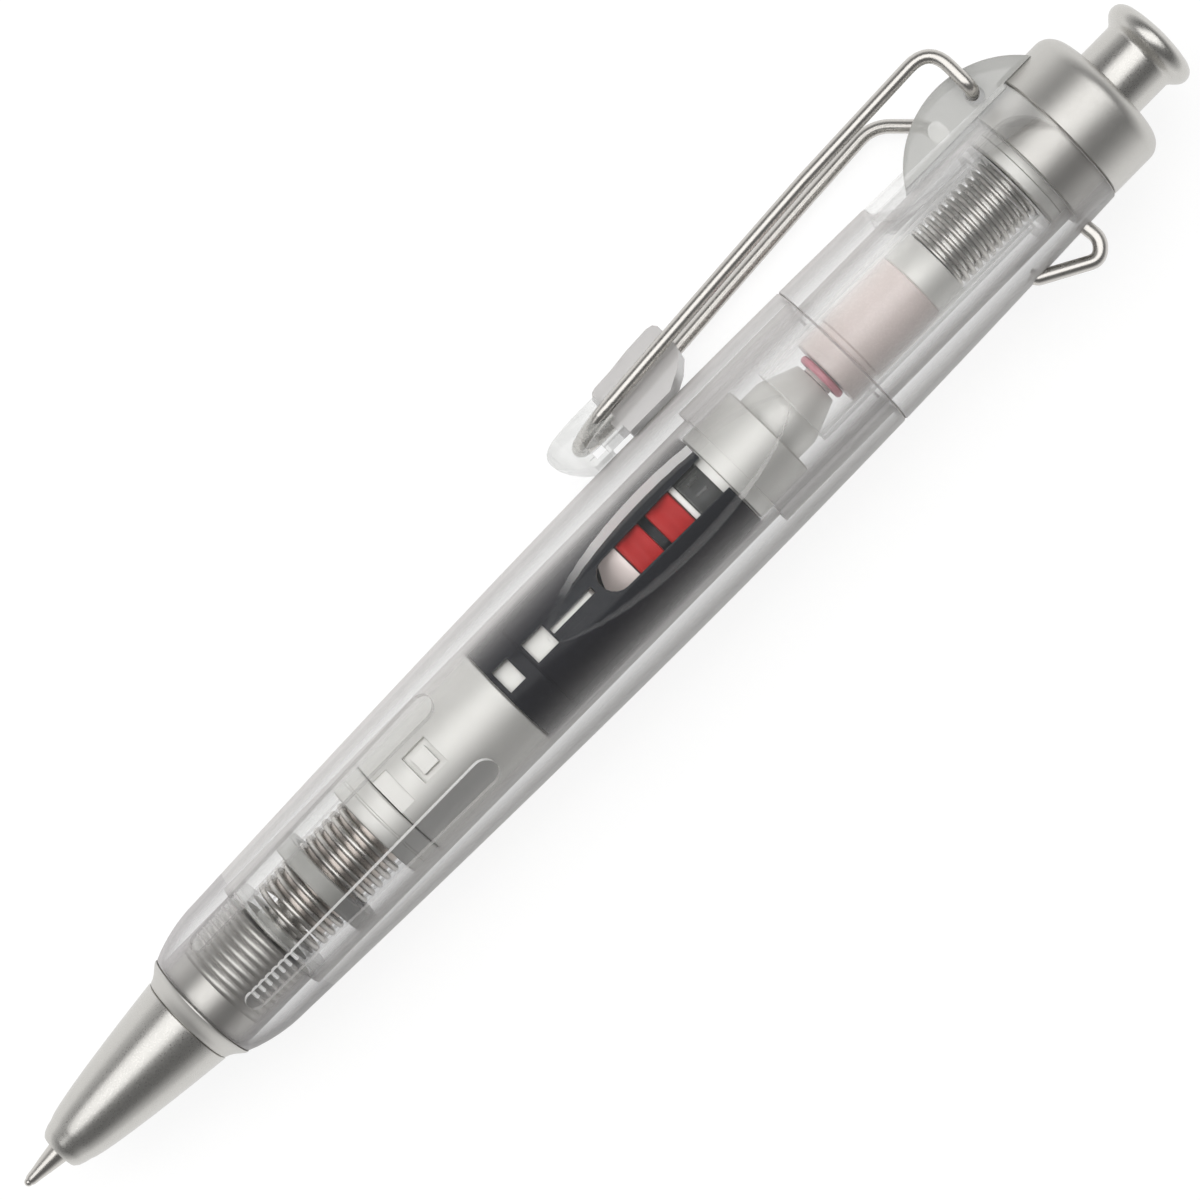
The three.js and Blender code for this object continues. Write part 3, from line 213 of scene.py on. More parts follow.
def calculate(tree, operation, *values):
    """The result of a math node, for numbers or for other nodes' sockets"""
    node = add_node(tree, "ShaderNodeMath", operation=operation)
    for socket, value in zip(node.inputs, values):
        if isinstance(value, bpy.types.NodeSocket):
            tree.links.new(value, socket)
        else:
            socket.default_value = value
    return node.outputs[0]


def start_finish(name, base, roughness, metallic=0.0):
    """A new material with its shader set, or None and the material that has the name already"""
    if name in bpy.data.materials:
        return bpy.data.materials[name], None, None
    material = bpy.data.materials.new(name)
    material.use_nodes = True
    tree = material.node_tree
    shader = tree.nodes["Principled BSDF"]
    shader.inputs["Base Color"].default_value = (*base, 1)
    shader.inputs["Roughness"].default_value = roughness
    shader.inputs["Metallic"].default_value = metallic
    return material, tree, shader


def grain(tree, scale, detail=3.0):
    """Noise over the piece, with about scale grains to the metre"""
    place = add_node(tree, "ShaderNodeTexCoord")
    noise = add_node(tree, "ShaderNodeTexNoise", Scale=scale, Detail=detail)
    tree.links.new(place.outputs["Object"], noise.inputs["Vector"])
    return noise.outputs["Fac"]


def spread(tree, value, low, high):
    """The value mapped from its middle range to low and high"""
    node = add_node(tree, "ShaderNodeMapRange", From_Min=0.3, From_Max=0.7, To_Min=low, To_Max=high)
    tree.links.new(value, node.inputs["Value"])
    return node.outputs["Result"]


def tint(tree, shader, value, base, share):
    """Base colour that varies by share of its brightness with the value"""
    mix = add_node(tree, "ShaderNodeMix", data_type="RGBA")
    for socket, factor in zip(MIX_COLOURS_IN, (1 - share, 1 + share)):
        mix.inputs[socket].default_value = (*[min(1, part * factor) for part in base], 1)
    tree.links.new(value, mix.inputs["Factor"])
    tree.links.new(mix.outputs[MIX_COLOUR_OUT], shader.inputs["Base Color"])


def bump(tree, shader, value, depth):
    """Relief of the given depth in metres"""
    node = add_node(tree, "ShaderNodeBump", Strength=1, Distance=depth)
    tree.links.new(value, node.inputs["Height"])
    tree.links.new(node.outputs["Normal"], shader.inputs["Normal"])


def satin_metal(name, base, roughness, metallic=1.0):
    """Satin metal paint with a fine grain"""
    material, tree, shader = start_finish(name, base, roughness, metallic)
    if tree:
        fine = grain(tree, 9000)
        tree.links.new(spread(tree, fine, roughness - 0.05, roughness + 0.07), shader.inputs["Roughness"])
        tint(tree, shader, grain(tree, 900), base, 0.03)
        bump(tree, shader, fine, 0.9 * MICROMETRE)
    return material


def wire_metal(name, base, roughness):
    """Drawn steel wire, bright with faint dull patches"""
    material, tree, shader = start_finish(name, base, roughness, 1.0)
    if tree:
        patches = grain(tree, 1500, 4)
        tree.links.new(spread(tree, patches, roughness * 0.95, roughness * 1.08), shader.inputs["Roughness"])
        tint(tree, shader, grain(tree, 500), base, 0.02)
        bump(tree, shader, grain(tree, 7000), 0.04 * MICROMETRE)
    return material


def moulded(name, base, roughness, wear=0.04, gloss=0.5):
    """Opaque moulded plastic or rubber, with a faint mottle"""
    material, tree, shader = start_finish(name, base, roughness)
    if tree:
        shader.inputs["Specular IOR Level"].default_value = gloss
        fine = grain(tree, 5000)
        tree.links.new(spread(tree, fine, roughness * 0.8, roughness * 1.25), shader.inputs["Roughness"])
        tint(tree, shader, grain(tree, 700), base, wear)
        bump(tree, shader, fine, 0.4 * MICROMETRE)
    return material


def fade_in(tree, start, stop):
    """A share that rises from nothing to all between two places along the pen"""
    place = add_node(tree, "ShaderNodeTexCoord")
    parts = add_node(tree, "ShaderNodeSeparateXYZ")
    ramp = add_node(
        tree, "ShaderNodeMapRange", From_Min=(TIP_X - start) * MM, From_Max=(TIP_X - stop) * MM)
    tree.links.new(place.outputs["Object"], parts.inputs[0])
    tree.links.new(parts.outputs["X"], ramp.inputs["Value"])
    return ramp.outputs["Result"]


def see_through(name, base, roughness, face, gain, power=2.2, most=0.92, painted_glow=0.0, fade=None):
    """See-through plastic, with its share of face on, rising by a gain to its most edge on, and
    with a painted glow that stands in for the light it catches from inside. It fades in between the two
    places of fade."""
    material, tree, shader = start_finish(name, base, roughness)
    if tree:
        shader.inputs["Emission Color"].default_value = (*base, 1)
        # Painted glow: emission that stands in for light the plastic catches
        shader.inputs["Emission Strength"].default_value = painted_glow
        facing = add_node(tree, "ShaderNodeLayerWeight", Blend=0.5).outputs["Facing"]
        curve = calculate(tree, "POWER", facing, power)
        amount = calculate(tree, "MULTIPLY_ADD", curve, gain, face)
        limited = calculate(tree, "MINIMUM", amount, most)
        share = calculate(tree, "MULTIPLY", fade_in(tree, *fade) if fade else 1, limited)
        tree.links.new(share, shader.inputs["Alpha"])
        tint(tree, shader, grain(tree, 600), base, 0.02)
        bump(tree, shader, grain(tree, 3000), 0.1 * MICROMETRE)
    return material


def finishes():
    """The pen's finishes by name"""
    colours = bpy.context.scene.pen_colours
    return {
        "silver": satin_metal("silver_paint", colours.silver, 0.3),
        "cap": satin_metal("cap_paint", colours.silver, 0.4),
        "inner": satin_metal("silver_inside", colours.inner_silver, 0.5, 0.65),
        "steel": wire_metal("wire_steel", colours.steel, 0.27),
        "spring": wire_metal("spring_wire", colours.steel, 0.28),
        "frosted": see_through("barrel_frost", colours.frosted, 0.42, 0.018, 1.95),
        "front_frost": see_through("barrel_front_frost", colours.front, 0.42, 0.018, 1.95),
        "window": see_through("clear_window", colours.clear, 0.04, 0.015, 0.6, 3),
        "groove": see_through("polished_groove", colours.clear, 0.08, 0.03, 1.1, 1.5),
        # Painted highlight: the window wall's bright crescent, white with a painted glow, fading in from 61.2
        # mm to 66 mm
        "rim": see_through("window_rim", colours.rim, 0.4, 0.78, 0.1, 1, 1, 0.2, (61.2, 66)),
        "rim_faint": see_through("window_rim_faint", colours.rim, 0.3, 0.015, 0.03, 1),
        # Painted shade: a dimmer, greyer copy of the window rim for walls on the shaded side
        "rim_shaded": see_through("window_rim_painted_shade", colours.frosted, 0.3, 0.3, 0.2, 1),
        # Painted highlight: bright white walls for one finger groove
        "lip": see_through("groove_lip_painted_highlight", colours.rim, 0.3, 0.6, 0.2, 1),
        # Painted glint: a white, glowing spot where the far wire end shows through the ear
        "hole_glint": see_through("pin_hole_light", colours.rim, 0.4, 0.85, 0.1, 1, 1, 0.4),
        "nose_clear": see_through("shoe_nose_clear", colours.clear, 0.12, 0.2, 0.25, 1.5, 0.5),
        "shade": see_through("groove_shade", colours.shade, 0.1, 0.25, 0.5),
        "spigot": see_through("spigot_frost", colours.frosted, 0.42, 0.02, 0.4, 3),
        "tube": see_through("inner_tube_clear", colours.rim, 0.2, 0.03, 1.1, 2.6),
        "clear": see_through("moulded_clear", colours.clear, 0.12, 0.06, 0.8, 1.6, 0.8),
        "solid_clear": see_through("solid_clear", colours.frosted, 0.2, 0.62, 0.2, 1.5, 0.85),
        "ear": see_through("ear_plastic", colours.ear, 0.3, 0.56, 0.3, 1.4),
        "saddle": see_through("saddle_clear", colours.rim, 0.12, 0.06, 0.5, 2),
        "black": moulded("sleeve_black", colours.black, 0.22, gloss=0.2),
        "red": moulded("seal_red", colours.red, 0.4, gloss=0.15),
        "rose": moulded("ring_rose", colours.rose, 0.4),
        "pink": moulded("plunger_pink", colours.pink, 0.25),
        # Painted glow: the piston nose glows faintly to lighten its shaded side
        "nose_pink_glow": see_through("piston_nose_painted_glow", colours.pink, 0.25, 1, 0, 1, 1, 0.25),
        "white": moulded("nut_white", colours.white, 0.28),
        "ink": moulded("ink_paste", colours.black, 0.3),
        "bronze": satin_metal("guide_bronze", colours.bronze, 0.3),
    }


# Modelling on the bench

def at(place, across=0.0, height=0.0, angle=0.0):
    """A bench point: mm along the pen, across it towards the clip, and out from its axis. The
    angle, in degrees, turns the last two about the axis, from the near window to the clip."""
    turn = math.radians(angle)
    return Vector((
        -place,
        -across * math.cos(turn) - height * math.sin(turn),
        -across * math.sin(turn) + height * math.cos(turn),
    ))


def steps(count):
    return [index / count for index in range(count + 1)]


def blend(low, high, part):
    return low + (high - low) * part


def clear_selection():
    if bpy.context.mode != "OBJECT":
        bpy.ops.object.mode_set(mode="OBJECT")
    bpy.ops.object.select_all(action="DESELECT")


def pick(piece):
    clear_selection()
    piece.select_set(True)
    bpy.context.view_layer.objects.active = piece


def chain(name, points):
    """Edges from point to point, left in edit mode with the last point selected"""
    clear_selection()
    bpy.ops.mesh.primitive_plane_add(size=1, location=points[0])
    piece = bpy.context.object
    piece.name = name
    bpy.ops.object.transform_apply(location=True, rotation=True, scale=True)
    bpy.ops.object.mode_set(mode="EDIT")
    bpy.ops.mesh.select_mode(type="VERT")
    bpy.ops.mesh.merge(type="CENTER")
    for before, after in zip(points, points[1:]):
        bpy.ops.mesh.extrude_vertices_move(TRANSFORM_OT_translate={"value": Vector(after) - Vector(before)})
    return piece


def beyond(start, *outline):
    """The (radius, place) pairs of an outline whose places are counted from a start"""
    return [(radius, start + place) for radius, place in outline]


def tidy_mesh():
    """In edit mode: merges doubled points, turns all faces outwards and goes back to object mode"""
    bpy.ops.mesh.select_all(action="SELECT")
    bpy.ops.mesh.remove_doubles(threshold=0.0004)
    bpy.ops.mesh.normals_make_consistent(inside=False)
    bpy.ops.object.mode_set(mode="OBJECT")


def turned(name, outline, sides=None):
    """A piece turned about the pen's axis, from (radius, place) pairs"""
    sides = sides or bpy.context.scene.pen_sizes.turned_sides
    points = [at(place, 0, radius) for radius, place in outline]
    if outline[0][0] > 0:
        points.append(points[0])
    piece = chain(name, points)
    bpy.ops.mesh.select_all(action="SELECT")
    bpy.ops.mesh.spin(steps=sides, angle=2 * math.pi, center=(0, 0, 0), axis=(1, 0, 0))
    tidy_mesh()
    return piece


def tube(name, front, rear, inner, outer, ease=None):
    """A plain ring or tube with its four rims rounded"""
    ease = bpy.context.scene.pen_sizes.edge_ease if ease is None else ease
    low, high = inner + ease, outer - ease
    return turned(name, [
        (inner, front + ease), (low, front), (high, front), (outer, front + ease),
        (outer, rear - ease), (high, rear), (low, rear), (inner, rear - ease),
    ])


def filled(name, points):
    """A face with its corners at the points, left in edit mode"""
    piece = chain(name, points)
    bpy.ops.mesh.select_all(action="SELECT")
    bpy.ops.mesh.edge_face_add()
    return piece


def prism(name, plan, low, high, angle=0.0):
    """A block cut from (place, across) pairs, from one height over the axis to another"""
    piece = filled(name, [at(place, across, low, angle) for place, across in plan])
    rise = at(0, 0, high - low, angle)
    bpy.ops.mesh.extrude_region_move(TRANSFORM_OT_translate={"value": rise})
    tidy_mesh()
    return piece


def side_block(name, outline, half_width):
    """A block cut from (place, height) pairs on the clip side, as wide to both sides of the middle"""
    piece = filled(name, [Vector((-place, -height, -half_width)) for place, height in outline])
    bpy.ops.mesh.extrude_region_move(TRANSFORM_OT_translate={"value": (0, 0, 2 * half_width)})
    tidy_mesh()
    return piece


def wire(name, line, radius, sides=None):
    """A round wire along a line of points, with closed ends"""
    sides = sides or bpy.context.scene.pen_sizes.wire_sides
    pick(chain(name, line))
    bpy.ops.object.convert(target="CURVE")
    piece = bpy.context.object
    piece.data.dimensions = "3D"
    piece.data.bevel_depth = radius
    piece.data.bevel_resolution = max(0, sides // 2 - 2)
    piece.data.use_fill_caps = True
    bpy.ops.object.convert(target="MESH")
    piece = bpy.context.object
    bpy.ops.object.mode_set(mode="EDIT")
    tidy_mesh()
    return piece


def modify(piece, kind, **settings):
    """Applies a modifier with the given settings"""
    pick(piece)
    bpy.ops.object.modifier_add(type=kind)
    modifier = piece.modifiers[-1]
    for key, value in settings.items():
        setattr(modifier, key, value)
    bpy.ops.object.modifier_apply(modifier=modifier.name)


def combine(piece, other, operation="DIFFERENCE"):
    """Cuts the other solid from the piece, joins it on or keeps what both share"""
    modify(piece, "BOOLEAN", operation=operation, object=other, solver="EXACT", material_mode="TRANSFER")
    bpy.data.objects.remove(other)
    return piece


def round_edges(piece, width, angle, segments):
    """Rounds the edges whose faces meet at more than an angle in degrees"""
    modify(piece, "BEVEL", width=width, segments=segments, limit_method="ANGLE",
           angle_limit=math.radians(angle), use_clamp_overlap=True)


def coat(piece, finish):
    """Gives a part of a piece its finish before it is combined with others"""
    piece.data.materials.clear()
    piece.data.materials.append(finish)
    return piece


def paint_where(piece, finish, test, instead_of=None):
    """Gives the faces whose middle passes the test another finish, or only those with a given one"""
    piece.data.materials.append(finish)
    materials = list(piece.data.materials)
    for face in piece.data.polygons:
        if instead_of in (None, materials[face.material_index]) and test(face.center):
            face.material_index = len(materials) - 1


def before(place):
    """A test for points in front of a place"""
    return lambda middle: -middle.x < place


def behind(place):
    """A test for points behind a place"""
    return lambda middle: -middle.x > place


def settle(piece, body, finish=None, smooth=32):
    """Lays a finished piece on the floor, where the frame has it, and lets it ride on its body"""
    if finish is not None:
        coat(piece, finish)
    pick(piece)
    bpy.ops.object.shade_smooth_by_angle(angle=math.radians(smooth))
    piece.matrix_world = BENCH_TO_FLOOR @ piece.matrix_world
    bpy.ops.object.transform_apply(location=True, rotation=True, scale=True)
    piece.data.name = piece.name
    if body:
        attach(piece, body)
    return piece


def barrel_radius(place):
    """The outer radius of the barrel at a place along the pen"""
    curve_end = BARREL_FRONT + FRONT_CURVE
    belly = BARREL_FRONT + 53.4
    if place < curve_end:
        left = 1 - max(0, place - BARREL_FRONT) / FRONT_CURVE
        return FRONT_RADIUS - left ** 2
    if place < belly:
        left = 1 - (place - curve_end) / (belly - curve_end)
        return BELLY_RADIUS - 1.05 * left ** 1.6
    past = min(1, (place - belly) / (BARREL_REAR - belly))
    return BELLY_RADIUS - 0.75 * past ** 1.9


class PieceOperator(bpy.types.Operator):
    """Shared by the operators that build pieces"""

    bl_options = {"REGISTER", "UNDO"}

    def execute(self, context):
        self.build(context.scene.pen_sizes, finishes())
        return {"FINISHED"}


# Front end

class PEN_OT_nose(PieceOperator):
    """Turns the nose cone with its screw neck, and the ring behind it"""

    bl_idname = "pen.nose"
    bl_label = "Nose cone and ring"

    def build(self, sizes, finish):
        front, rear = span("nose_cone")
        ring_front, ring_rear = span("front_ring")
        root = ring_front - 0.03
        nose = front + 1.3
        outside = [
            (2.15 + 1.95 * part ** 0.72, blend(nose, root - 0.06, part)) for part in steps(28)
        ]
        threads = []
        for turn in range(8):
            place = BARREL_FRONT + 2 + turn * THREAD_PITCH
            threads += beyond(place, (4.14, 0), (4.26, 0.2), (4.3, 0.34), (4.26, 0.48))
        cone = turned("nose_cone_turned", [
            *beyond(front, (1.27, 0.15), (1.4, 0), (1.62, 0.05), (1.86, 0.35), (2.05, 0.85)),
            *outside, (4.02, root), (3.3, root), (3.3, ring_rear + SEAM), (4.2, ring_rear + SEAM),
            *threads, (4.1, rear), (1.9, rear), (1.9, front + 4), (1.27, front + 3.3),
        ])
        coat(cone, finish["silver"])
        paint_where(cone, finish["cap"], behind(ring_rear))
        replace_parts(settle(cone, "nose"), "nose_cone")
        ring = turned("front_ring_flared", [
            *beyond(ring_front, (3.4, 0), (4.0, 0), (4.07, 0.08), (4.2, 0.4), (4.42, 0.75), (4.7, 1.08),
                    (4.92, 1.35), (5.0, 1.5)), (4.98, ring_rear), (3.4, ring_rear),
        ])
        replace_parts(settle(ring, "front_ring", finish["cap"]), "front_ring")


class PEN_OT_refill(PieceOperator):
    """Turns the writing ball, its point, the ink tube and the ink"""

    bl_idname = "pen.refill"
    bl_label = "Refill"

    def build(self, sizes, finish):
        clear_selection()
        bpy.ops.mesh.primitive_uv_sphere_add(segments=32, ring_count=20, radius=0.35, location=at(0.35))
        ball = bpy.context.object
        ball.name = "writing_ball"
        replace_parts(settle(ball, "refill", finish["steel"], 90), "refill_ball")
        point = turned("writing_point", [
            (0, 0.8), (0.34, 0.8), (0.36, 0.5), (0.4, 0.44), (0.45, 0.55), (0.5, 0.8), (0.56, 1.3),
            (0.72, 2.2), (0.9, 3.4), (1.08, 4.5), (1.1, 4.7), (1.1, 9.5), (1.5, 9.9), (1.5, 11.5),
            (1.05, 11.5), (1.05, 12.6), (0.95, 12.7), (0, 12.7),
        ])
        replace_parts(settle(point, "refill", finish["steel"]), "refill_point")
        front, rear = span("refill_tube")
        sleeve = tube("ink_tube", front, rear, 1.15, 1.6)
        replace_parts(settle(sleeve, "refill", finish["steel"]), "refill_tube")
        front, rear = span("ink")
        ink = turned("ink_column", [
            *beyond(front, (0, 0), (0.9, 0), (1.05, 0.15)),
            *beyond(rear, (1.05, -0.25), (0.8, -0.05), (0, 0)),
        ])
        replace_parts(settle(ink, "refill", finish["ink"]), "ink")


def spring_line(front, rear, radius, turns, thickness):
    """The middle line of a compression spring, with its ends on the far side"""
    count = int(COIL_POINTS * turns)
    places = [blend(front + thickness / 2, rear - thickness / 2, part) for part in steps(count)]
    return [at(place, 0, radius, 180 + 360 / COIL_POINTS * index) for index, place in enumerate(places)]


class PEN_OT_springs(PieceOperator):
    """Coils the return spring and the rear spring"""

    bl_idname = "pen.springs"
    bl_label = "Springs"

    def build(self, sizes, finish):
        for name, node, radius, turns, thickness, bodies in (
            ("return_spring_coil", "return_spring", 3.2, sizes.return_turns, 0.5, ("barrel", "refill")),
            ("rear_spring_coil", "rear_spring", 2.72, sizes.rear_turns, 0.42, ("refill", "knob")),
        ):
            front, rear = span(node)
            coil = wire(name, spring_line(front, rear, radius, turns, thickness), thickness / 2, 12)
            settle(coil, None, finish["spring"], 60)
            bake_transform(coil)
            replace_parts(coil, node)


# Barrel

def slot_plan(front, rear, front_width, rear_width, count=10):
    """The outline of a long slot with round ends, as (place, across) pairs"""
    plan = []
    for part in steps(count):
        turn = math.pi * (part - 0.5)
        plan.append((rear - rear_width / 2 * (1 - math.cos(turn)), rear_width / 2 * math.sin(turn)))
    for part in steps(count):
        turn = math.pi * (part + 0.5)
        plan.append((front + front_width / 2 * (1 + math.cos(turn)), front_width / 2 * math.sin(turn)))
    return plan


def radial_block(name, plan, low, high, angle=0.0):
    """A block with walls towards the axis, from (place, degrees) pairs, between two radii"""
    piece = filled(name, [at(place, 0, low, angle + turn) for place, turn in plan])
    bpy.ops.mesh.extrude_region_move()
    share = high / low
    bpy.ops.transform.resize(value=(1, share, share), center_override=(0, 0, 0))
    tidy_mesh()
    return piece


def eye_plan(grow=0.0, count=24):
    """The outline of a window, pointed at both ends, as (place, degrees) pairs"""
    half_length = (WINDOW_REAR - WINDOW_FRONT) / 2 + grow
    half_width = BELLY_RADIUS * math.sin(math.radians(27.7)) + grow
    upper = []
    for part in steps(count):
        along = -math.cos(math.pi * part)
        width = half_width * max(0.0, 1 - along ** 2) ** 0.6
        upper.append((WINDOW_MIDDLE + along * half_length, math.degrees(math.asin(width / BELLY_RADIUS))))
    lower = [(place, -turn) for place, turn in reversed(upper[1:-1])]
    return upper + lower


RIB_PROFILE = ((0, 0), (0.1, 0.17), (0.17, 0.2), (0.24, 0.17), (0.34, 0))


def groove_cutter(angle, sizes, finish):
    """The space of one finger groove, with the cross ribs left standing on its floor"""
    front = BARREL_FRONT + 2.9
    rear = front + 26.5
    ribs = []
    for rib in range(sizes.rib_count):
        start = front + 0.75 + (rib + 0.2) * sizes.rib_pitch
        ribs += [(start + along, rise) for along, rise in RIB_PROFILE]
    floor = [(front - 0.5, 0), *ribs]
    after = ribs[-1][0] if ribs else front
    floor += [(blend(after + 0.3, rear + 0.5, part), 0) for part in steps(24)]
    outline = [(barrel_radius(place) - sizes.groove_depth + rise, place) for place, rise in floor]
    outline += [(8.5, rear + 0.5), (8.5, front - 0.5)]
    shell = turned("groove_shell", outline)
    slot = prism("groove_slot", slot_plan(front, rear, 1.5, 2.3), 3, 9, angle)
    return coat(combine(shell, slot, "INTERSECT"), finish["groove"])


def side_of(middle):
    """How far round the axis a bench point is, in degrees from the near window to the clip"""
    return math.degrees(math.atan2(-middle.y, middle.z))


def above_floor(middle, sizes):
    """Whether a point of a finger groove is on its walls or ribs"""
    return barrel_radius(-middle.x) - math.hypot(middle.y, middle.z) < sizes.groove_depth - 0.02


class PEN_OT_barrel_lower(PieceOperator):
    """Builds the lower barrel, with its finger grooves and window openings"""

    bl_idname = "pen.barrel_lower"
    bl_label = "Lower barrel"

    def build(self, sizes, finish):
        curve = [BARREL_FRONT + FRONT_CURVE * part for part in steps(8)]
        curve += [blend(curve[-1], BARREL_SEAM - 0.08, part) for part in steps(40)[1:]]
        outside = [(barrel_radius(place), place) for place in curve]
        outside[0] = (barrel_radius(BARREL_FRONT) - 0.06, BARREL_FRONT)
        outside.insert(1, (barrel_radius(BARREL_FRONT), BARREL_FRONT + 0.06))
        rear_radius = barrel_radius(BARREL_SEAM)
        seat = BARREL_FRONT + 7.54
        shell = turned("barrel_lower_shell", [
            (THREAD_BORE, BARREL_FRONT), *outside, (rear_radius - 0.07, BARREL_SEAM),
            (SPIGOT_OUTER + SEAM, BARREL_SEAM), (SPIGOT_OUTER + SEAM, SPIGOT_FRONT - SEAM),
            (MAIN_BORE, SPIGOT_FRONT - SEAM), (MAIN_BORE, seat), (THREAD_BORE, seat),
        ], 128)
        coat(shell, finish["frosted"])
        paint_where(shell, finish["front_frost"], before(seat))
        for middle in (0, 180):
            opening = coat(radial_block("window_opening", eye_plan(0.03), 3, 9, middle), finish["rim_faint"])
            combine(shell, opening)
            for side in (-33, 33):
                combine(shell, groove_cutter(middle + side, sizes, finish))
        # Painted highlight: the walls and ribs of the near finger groove on the side away from the clip get
        # the bright lip
        paint_where(shell, finish["lip"], lambda middle: (
            above_floor(middle, sizes) and -34 < side_of(middle) < 0), finish["groove"])
        # Painted shade: the walls and ribs of the other finger grooves get the shaded rim
        paint_where(shell, finish["rim_shaded"], lambda middle: above_floor(middle, sizes), finish["groove"])
        # Painted shade: the floor of that same groove is made dark
        paint_where(shell, finish["shade"], lambda middle: -50 < side_of(middle) < 0, finish["groove"])
        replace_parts(settle(shell, "barrel"), "barrel_lower")


class PEN_OT_windows(PieceOperator):
    """Cuts the two eye-shaped windows"""

    bl_idname = "pen.windows"
    bl_label = "Windows"

    def build(self, sizes, finish):
        places = [blend(WINDOW_FRONT - 0.5, WINDOW_REAR + 0.5, part) for part in steps(30)]
        for name, node, angle in (
            ("window_near_pane", "window_lens_near", 0), ("window_far_pane", "window_lens_far", 180),
        ):
            pane = turned(name, [
                *[(barrel_radius(place), place) for place in places],
                *[(barrel_radius(place) - 1.3, place) for place in reversed(places)],
            ], 128)
            coat(pane, finish["window"])
            eye = coat(radial_block("eye", eye_plan(), 3, 9, angle), finish["rim"])
            combine(pane, eye, "INTERSECT")
            # Painted highlight: the bright rim stays only on the clip-side wall from 58.5 mm to 76.5 mm;
            # other walls get the faint rim
            paint_where(pane, finish["rim_faint"], lambda middle: (
                middle.y > 0 or not 58.5 < -middle.x < 76.5), finish["rim"])
            # Painted shade: the rear of the wall on the side away from the clip gets the shaded rim
            paint_where(pane, finish["rim_shaded"], lambda middle: (
                middle.y > 0 and -middle.x > 76.3), finish["rim_faint"])
            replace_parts(settle(pane, "barrel"), node)


def saddle_half(place):
    """Half the angle, in degrees, that the foot of the clip ear covers at a place"""
    front = BARREL_REAR - FOOT_LENGTH
    if place < front + FOOT_CURVE:
        return blend(32, 58, math.sin(math.pi / 2 * max(0, (place - front) / FOOT_CURVE)) ** 0.8)
    fillet = max(0, (place - BARREL_REAR + FOOT_FILLET) / FOOT_FILLET)
    return 58 + 42 * (1 - math.sqrt(max(0.0, 1 - fillet ** 2)))


def saddle_block(grow, low_radius, rise):
    """The curved foot of the clip ear, or, grown by a clearance, its place in the barrel"""
    front = BARREL_REAR - FOOT_LENGTH - grow
    rear = BARREL_REAR - SEAM
    fillet = rear - FOOT_FILLET
    places = [front + FOOT_CURVE * part ** 1.5 for part in steps(10)]
    places += [blend(places[-1], fillet, part) for part in steps(8)[1:]]
    places += [fillet + FOOT_FILLET * math.sin(math.pi / 2 * part) for part in steps(12)[1:]]
    if grow:
        places.append(BARREL_REAR + 1)
    points = [at(place, 0, low_radius, 90) for place in places]
    points += [at(place, 0, barrel_radius(place) + rise, 90) for place in reversed(places)]
    piece = filled("saddle", points)
    sweep = math.radians(160)
    bpy.ops.mesh.spin(steps=48, angle=sweep, center=(0, 0, 0), axis=(1, 0, 0))
    tidy_mesh()
    for vertex in piece.data.vertices:
        turn = math.atan2(vertex.co.z, -vertex.co.y)
        share = abs(turn) / sweep
        place = -vertex.co.x
        half = math.radians(saddle_half(min(place, rear)) + math.degrees(grow / 6.3))
        lean = half * (2 * share - 1)
        radius = math.hypot(vertex.co.y, vertex.co.z)
        vertex.co.y, vertex.co.z = -radius * math.cos(lean), radius * math.sin(lean)
    pick(piece)
    bpy.ops.object.mode_set(mode="EDIT")
    tidy_mesh()
    return piece


class PEN_OT_barrel_upper(PieceOperator):
    """Builds the upper barrel, with its spigot inside the lower one"""

    bl_idname = "pen.barrel_upper"
    bl_label = "Upper barrel"

    def build(self, sizes, finish):
        front = BARREL_SEAM + SEAM
        places = [blend(front + 0.08, BARREL_REAR - 0.08, part) for part in steps(16)]
        outside = [(barrel_radius(place), place) for place in places]
        cap_seat = BARREL_REAR - 3.5
        shell = turned("barrel_upper_shell", [
            (SPIGOT_BORE, SPIGOT_FRONT), (SPIGOT_OUTER - 0.1, SPIGOT_FRONT),
            (SPIGOT_OUTER, SPIGOT_FRONT + 0.1), (SPIGOT_OUTER, front),
            (barrel_radius(front) - 0.07, front), *outside,
            (barrel_radius(BARREL_REAR) - 0.07, BARREL_REAR), (CAP_SEAT_RADIUS, BARREL_REAR),
            (CAP_SEAT_RADIUS, cap_seat), (SPIGOT_BORE, cap_seat),
        ], 128)
        coat(shell, finish["frosted"])
        paint_where(shell, finish["spigot"], before(front - 0.02))
        combine(shell, coat(saddle_block(SEAM, CAP_SEAT_RADIUS - 0.01, 1), finish["spigot"]))
        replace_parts(settle(shell, "barrel"), "barrel_upper")


# Front stack

def box_plan(front, rear, low, high):
    return [(front, low), (rear, low), (rear, high), (front, high)]


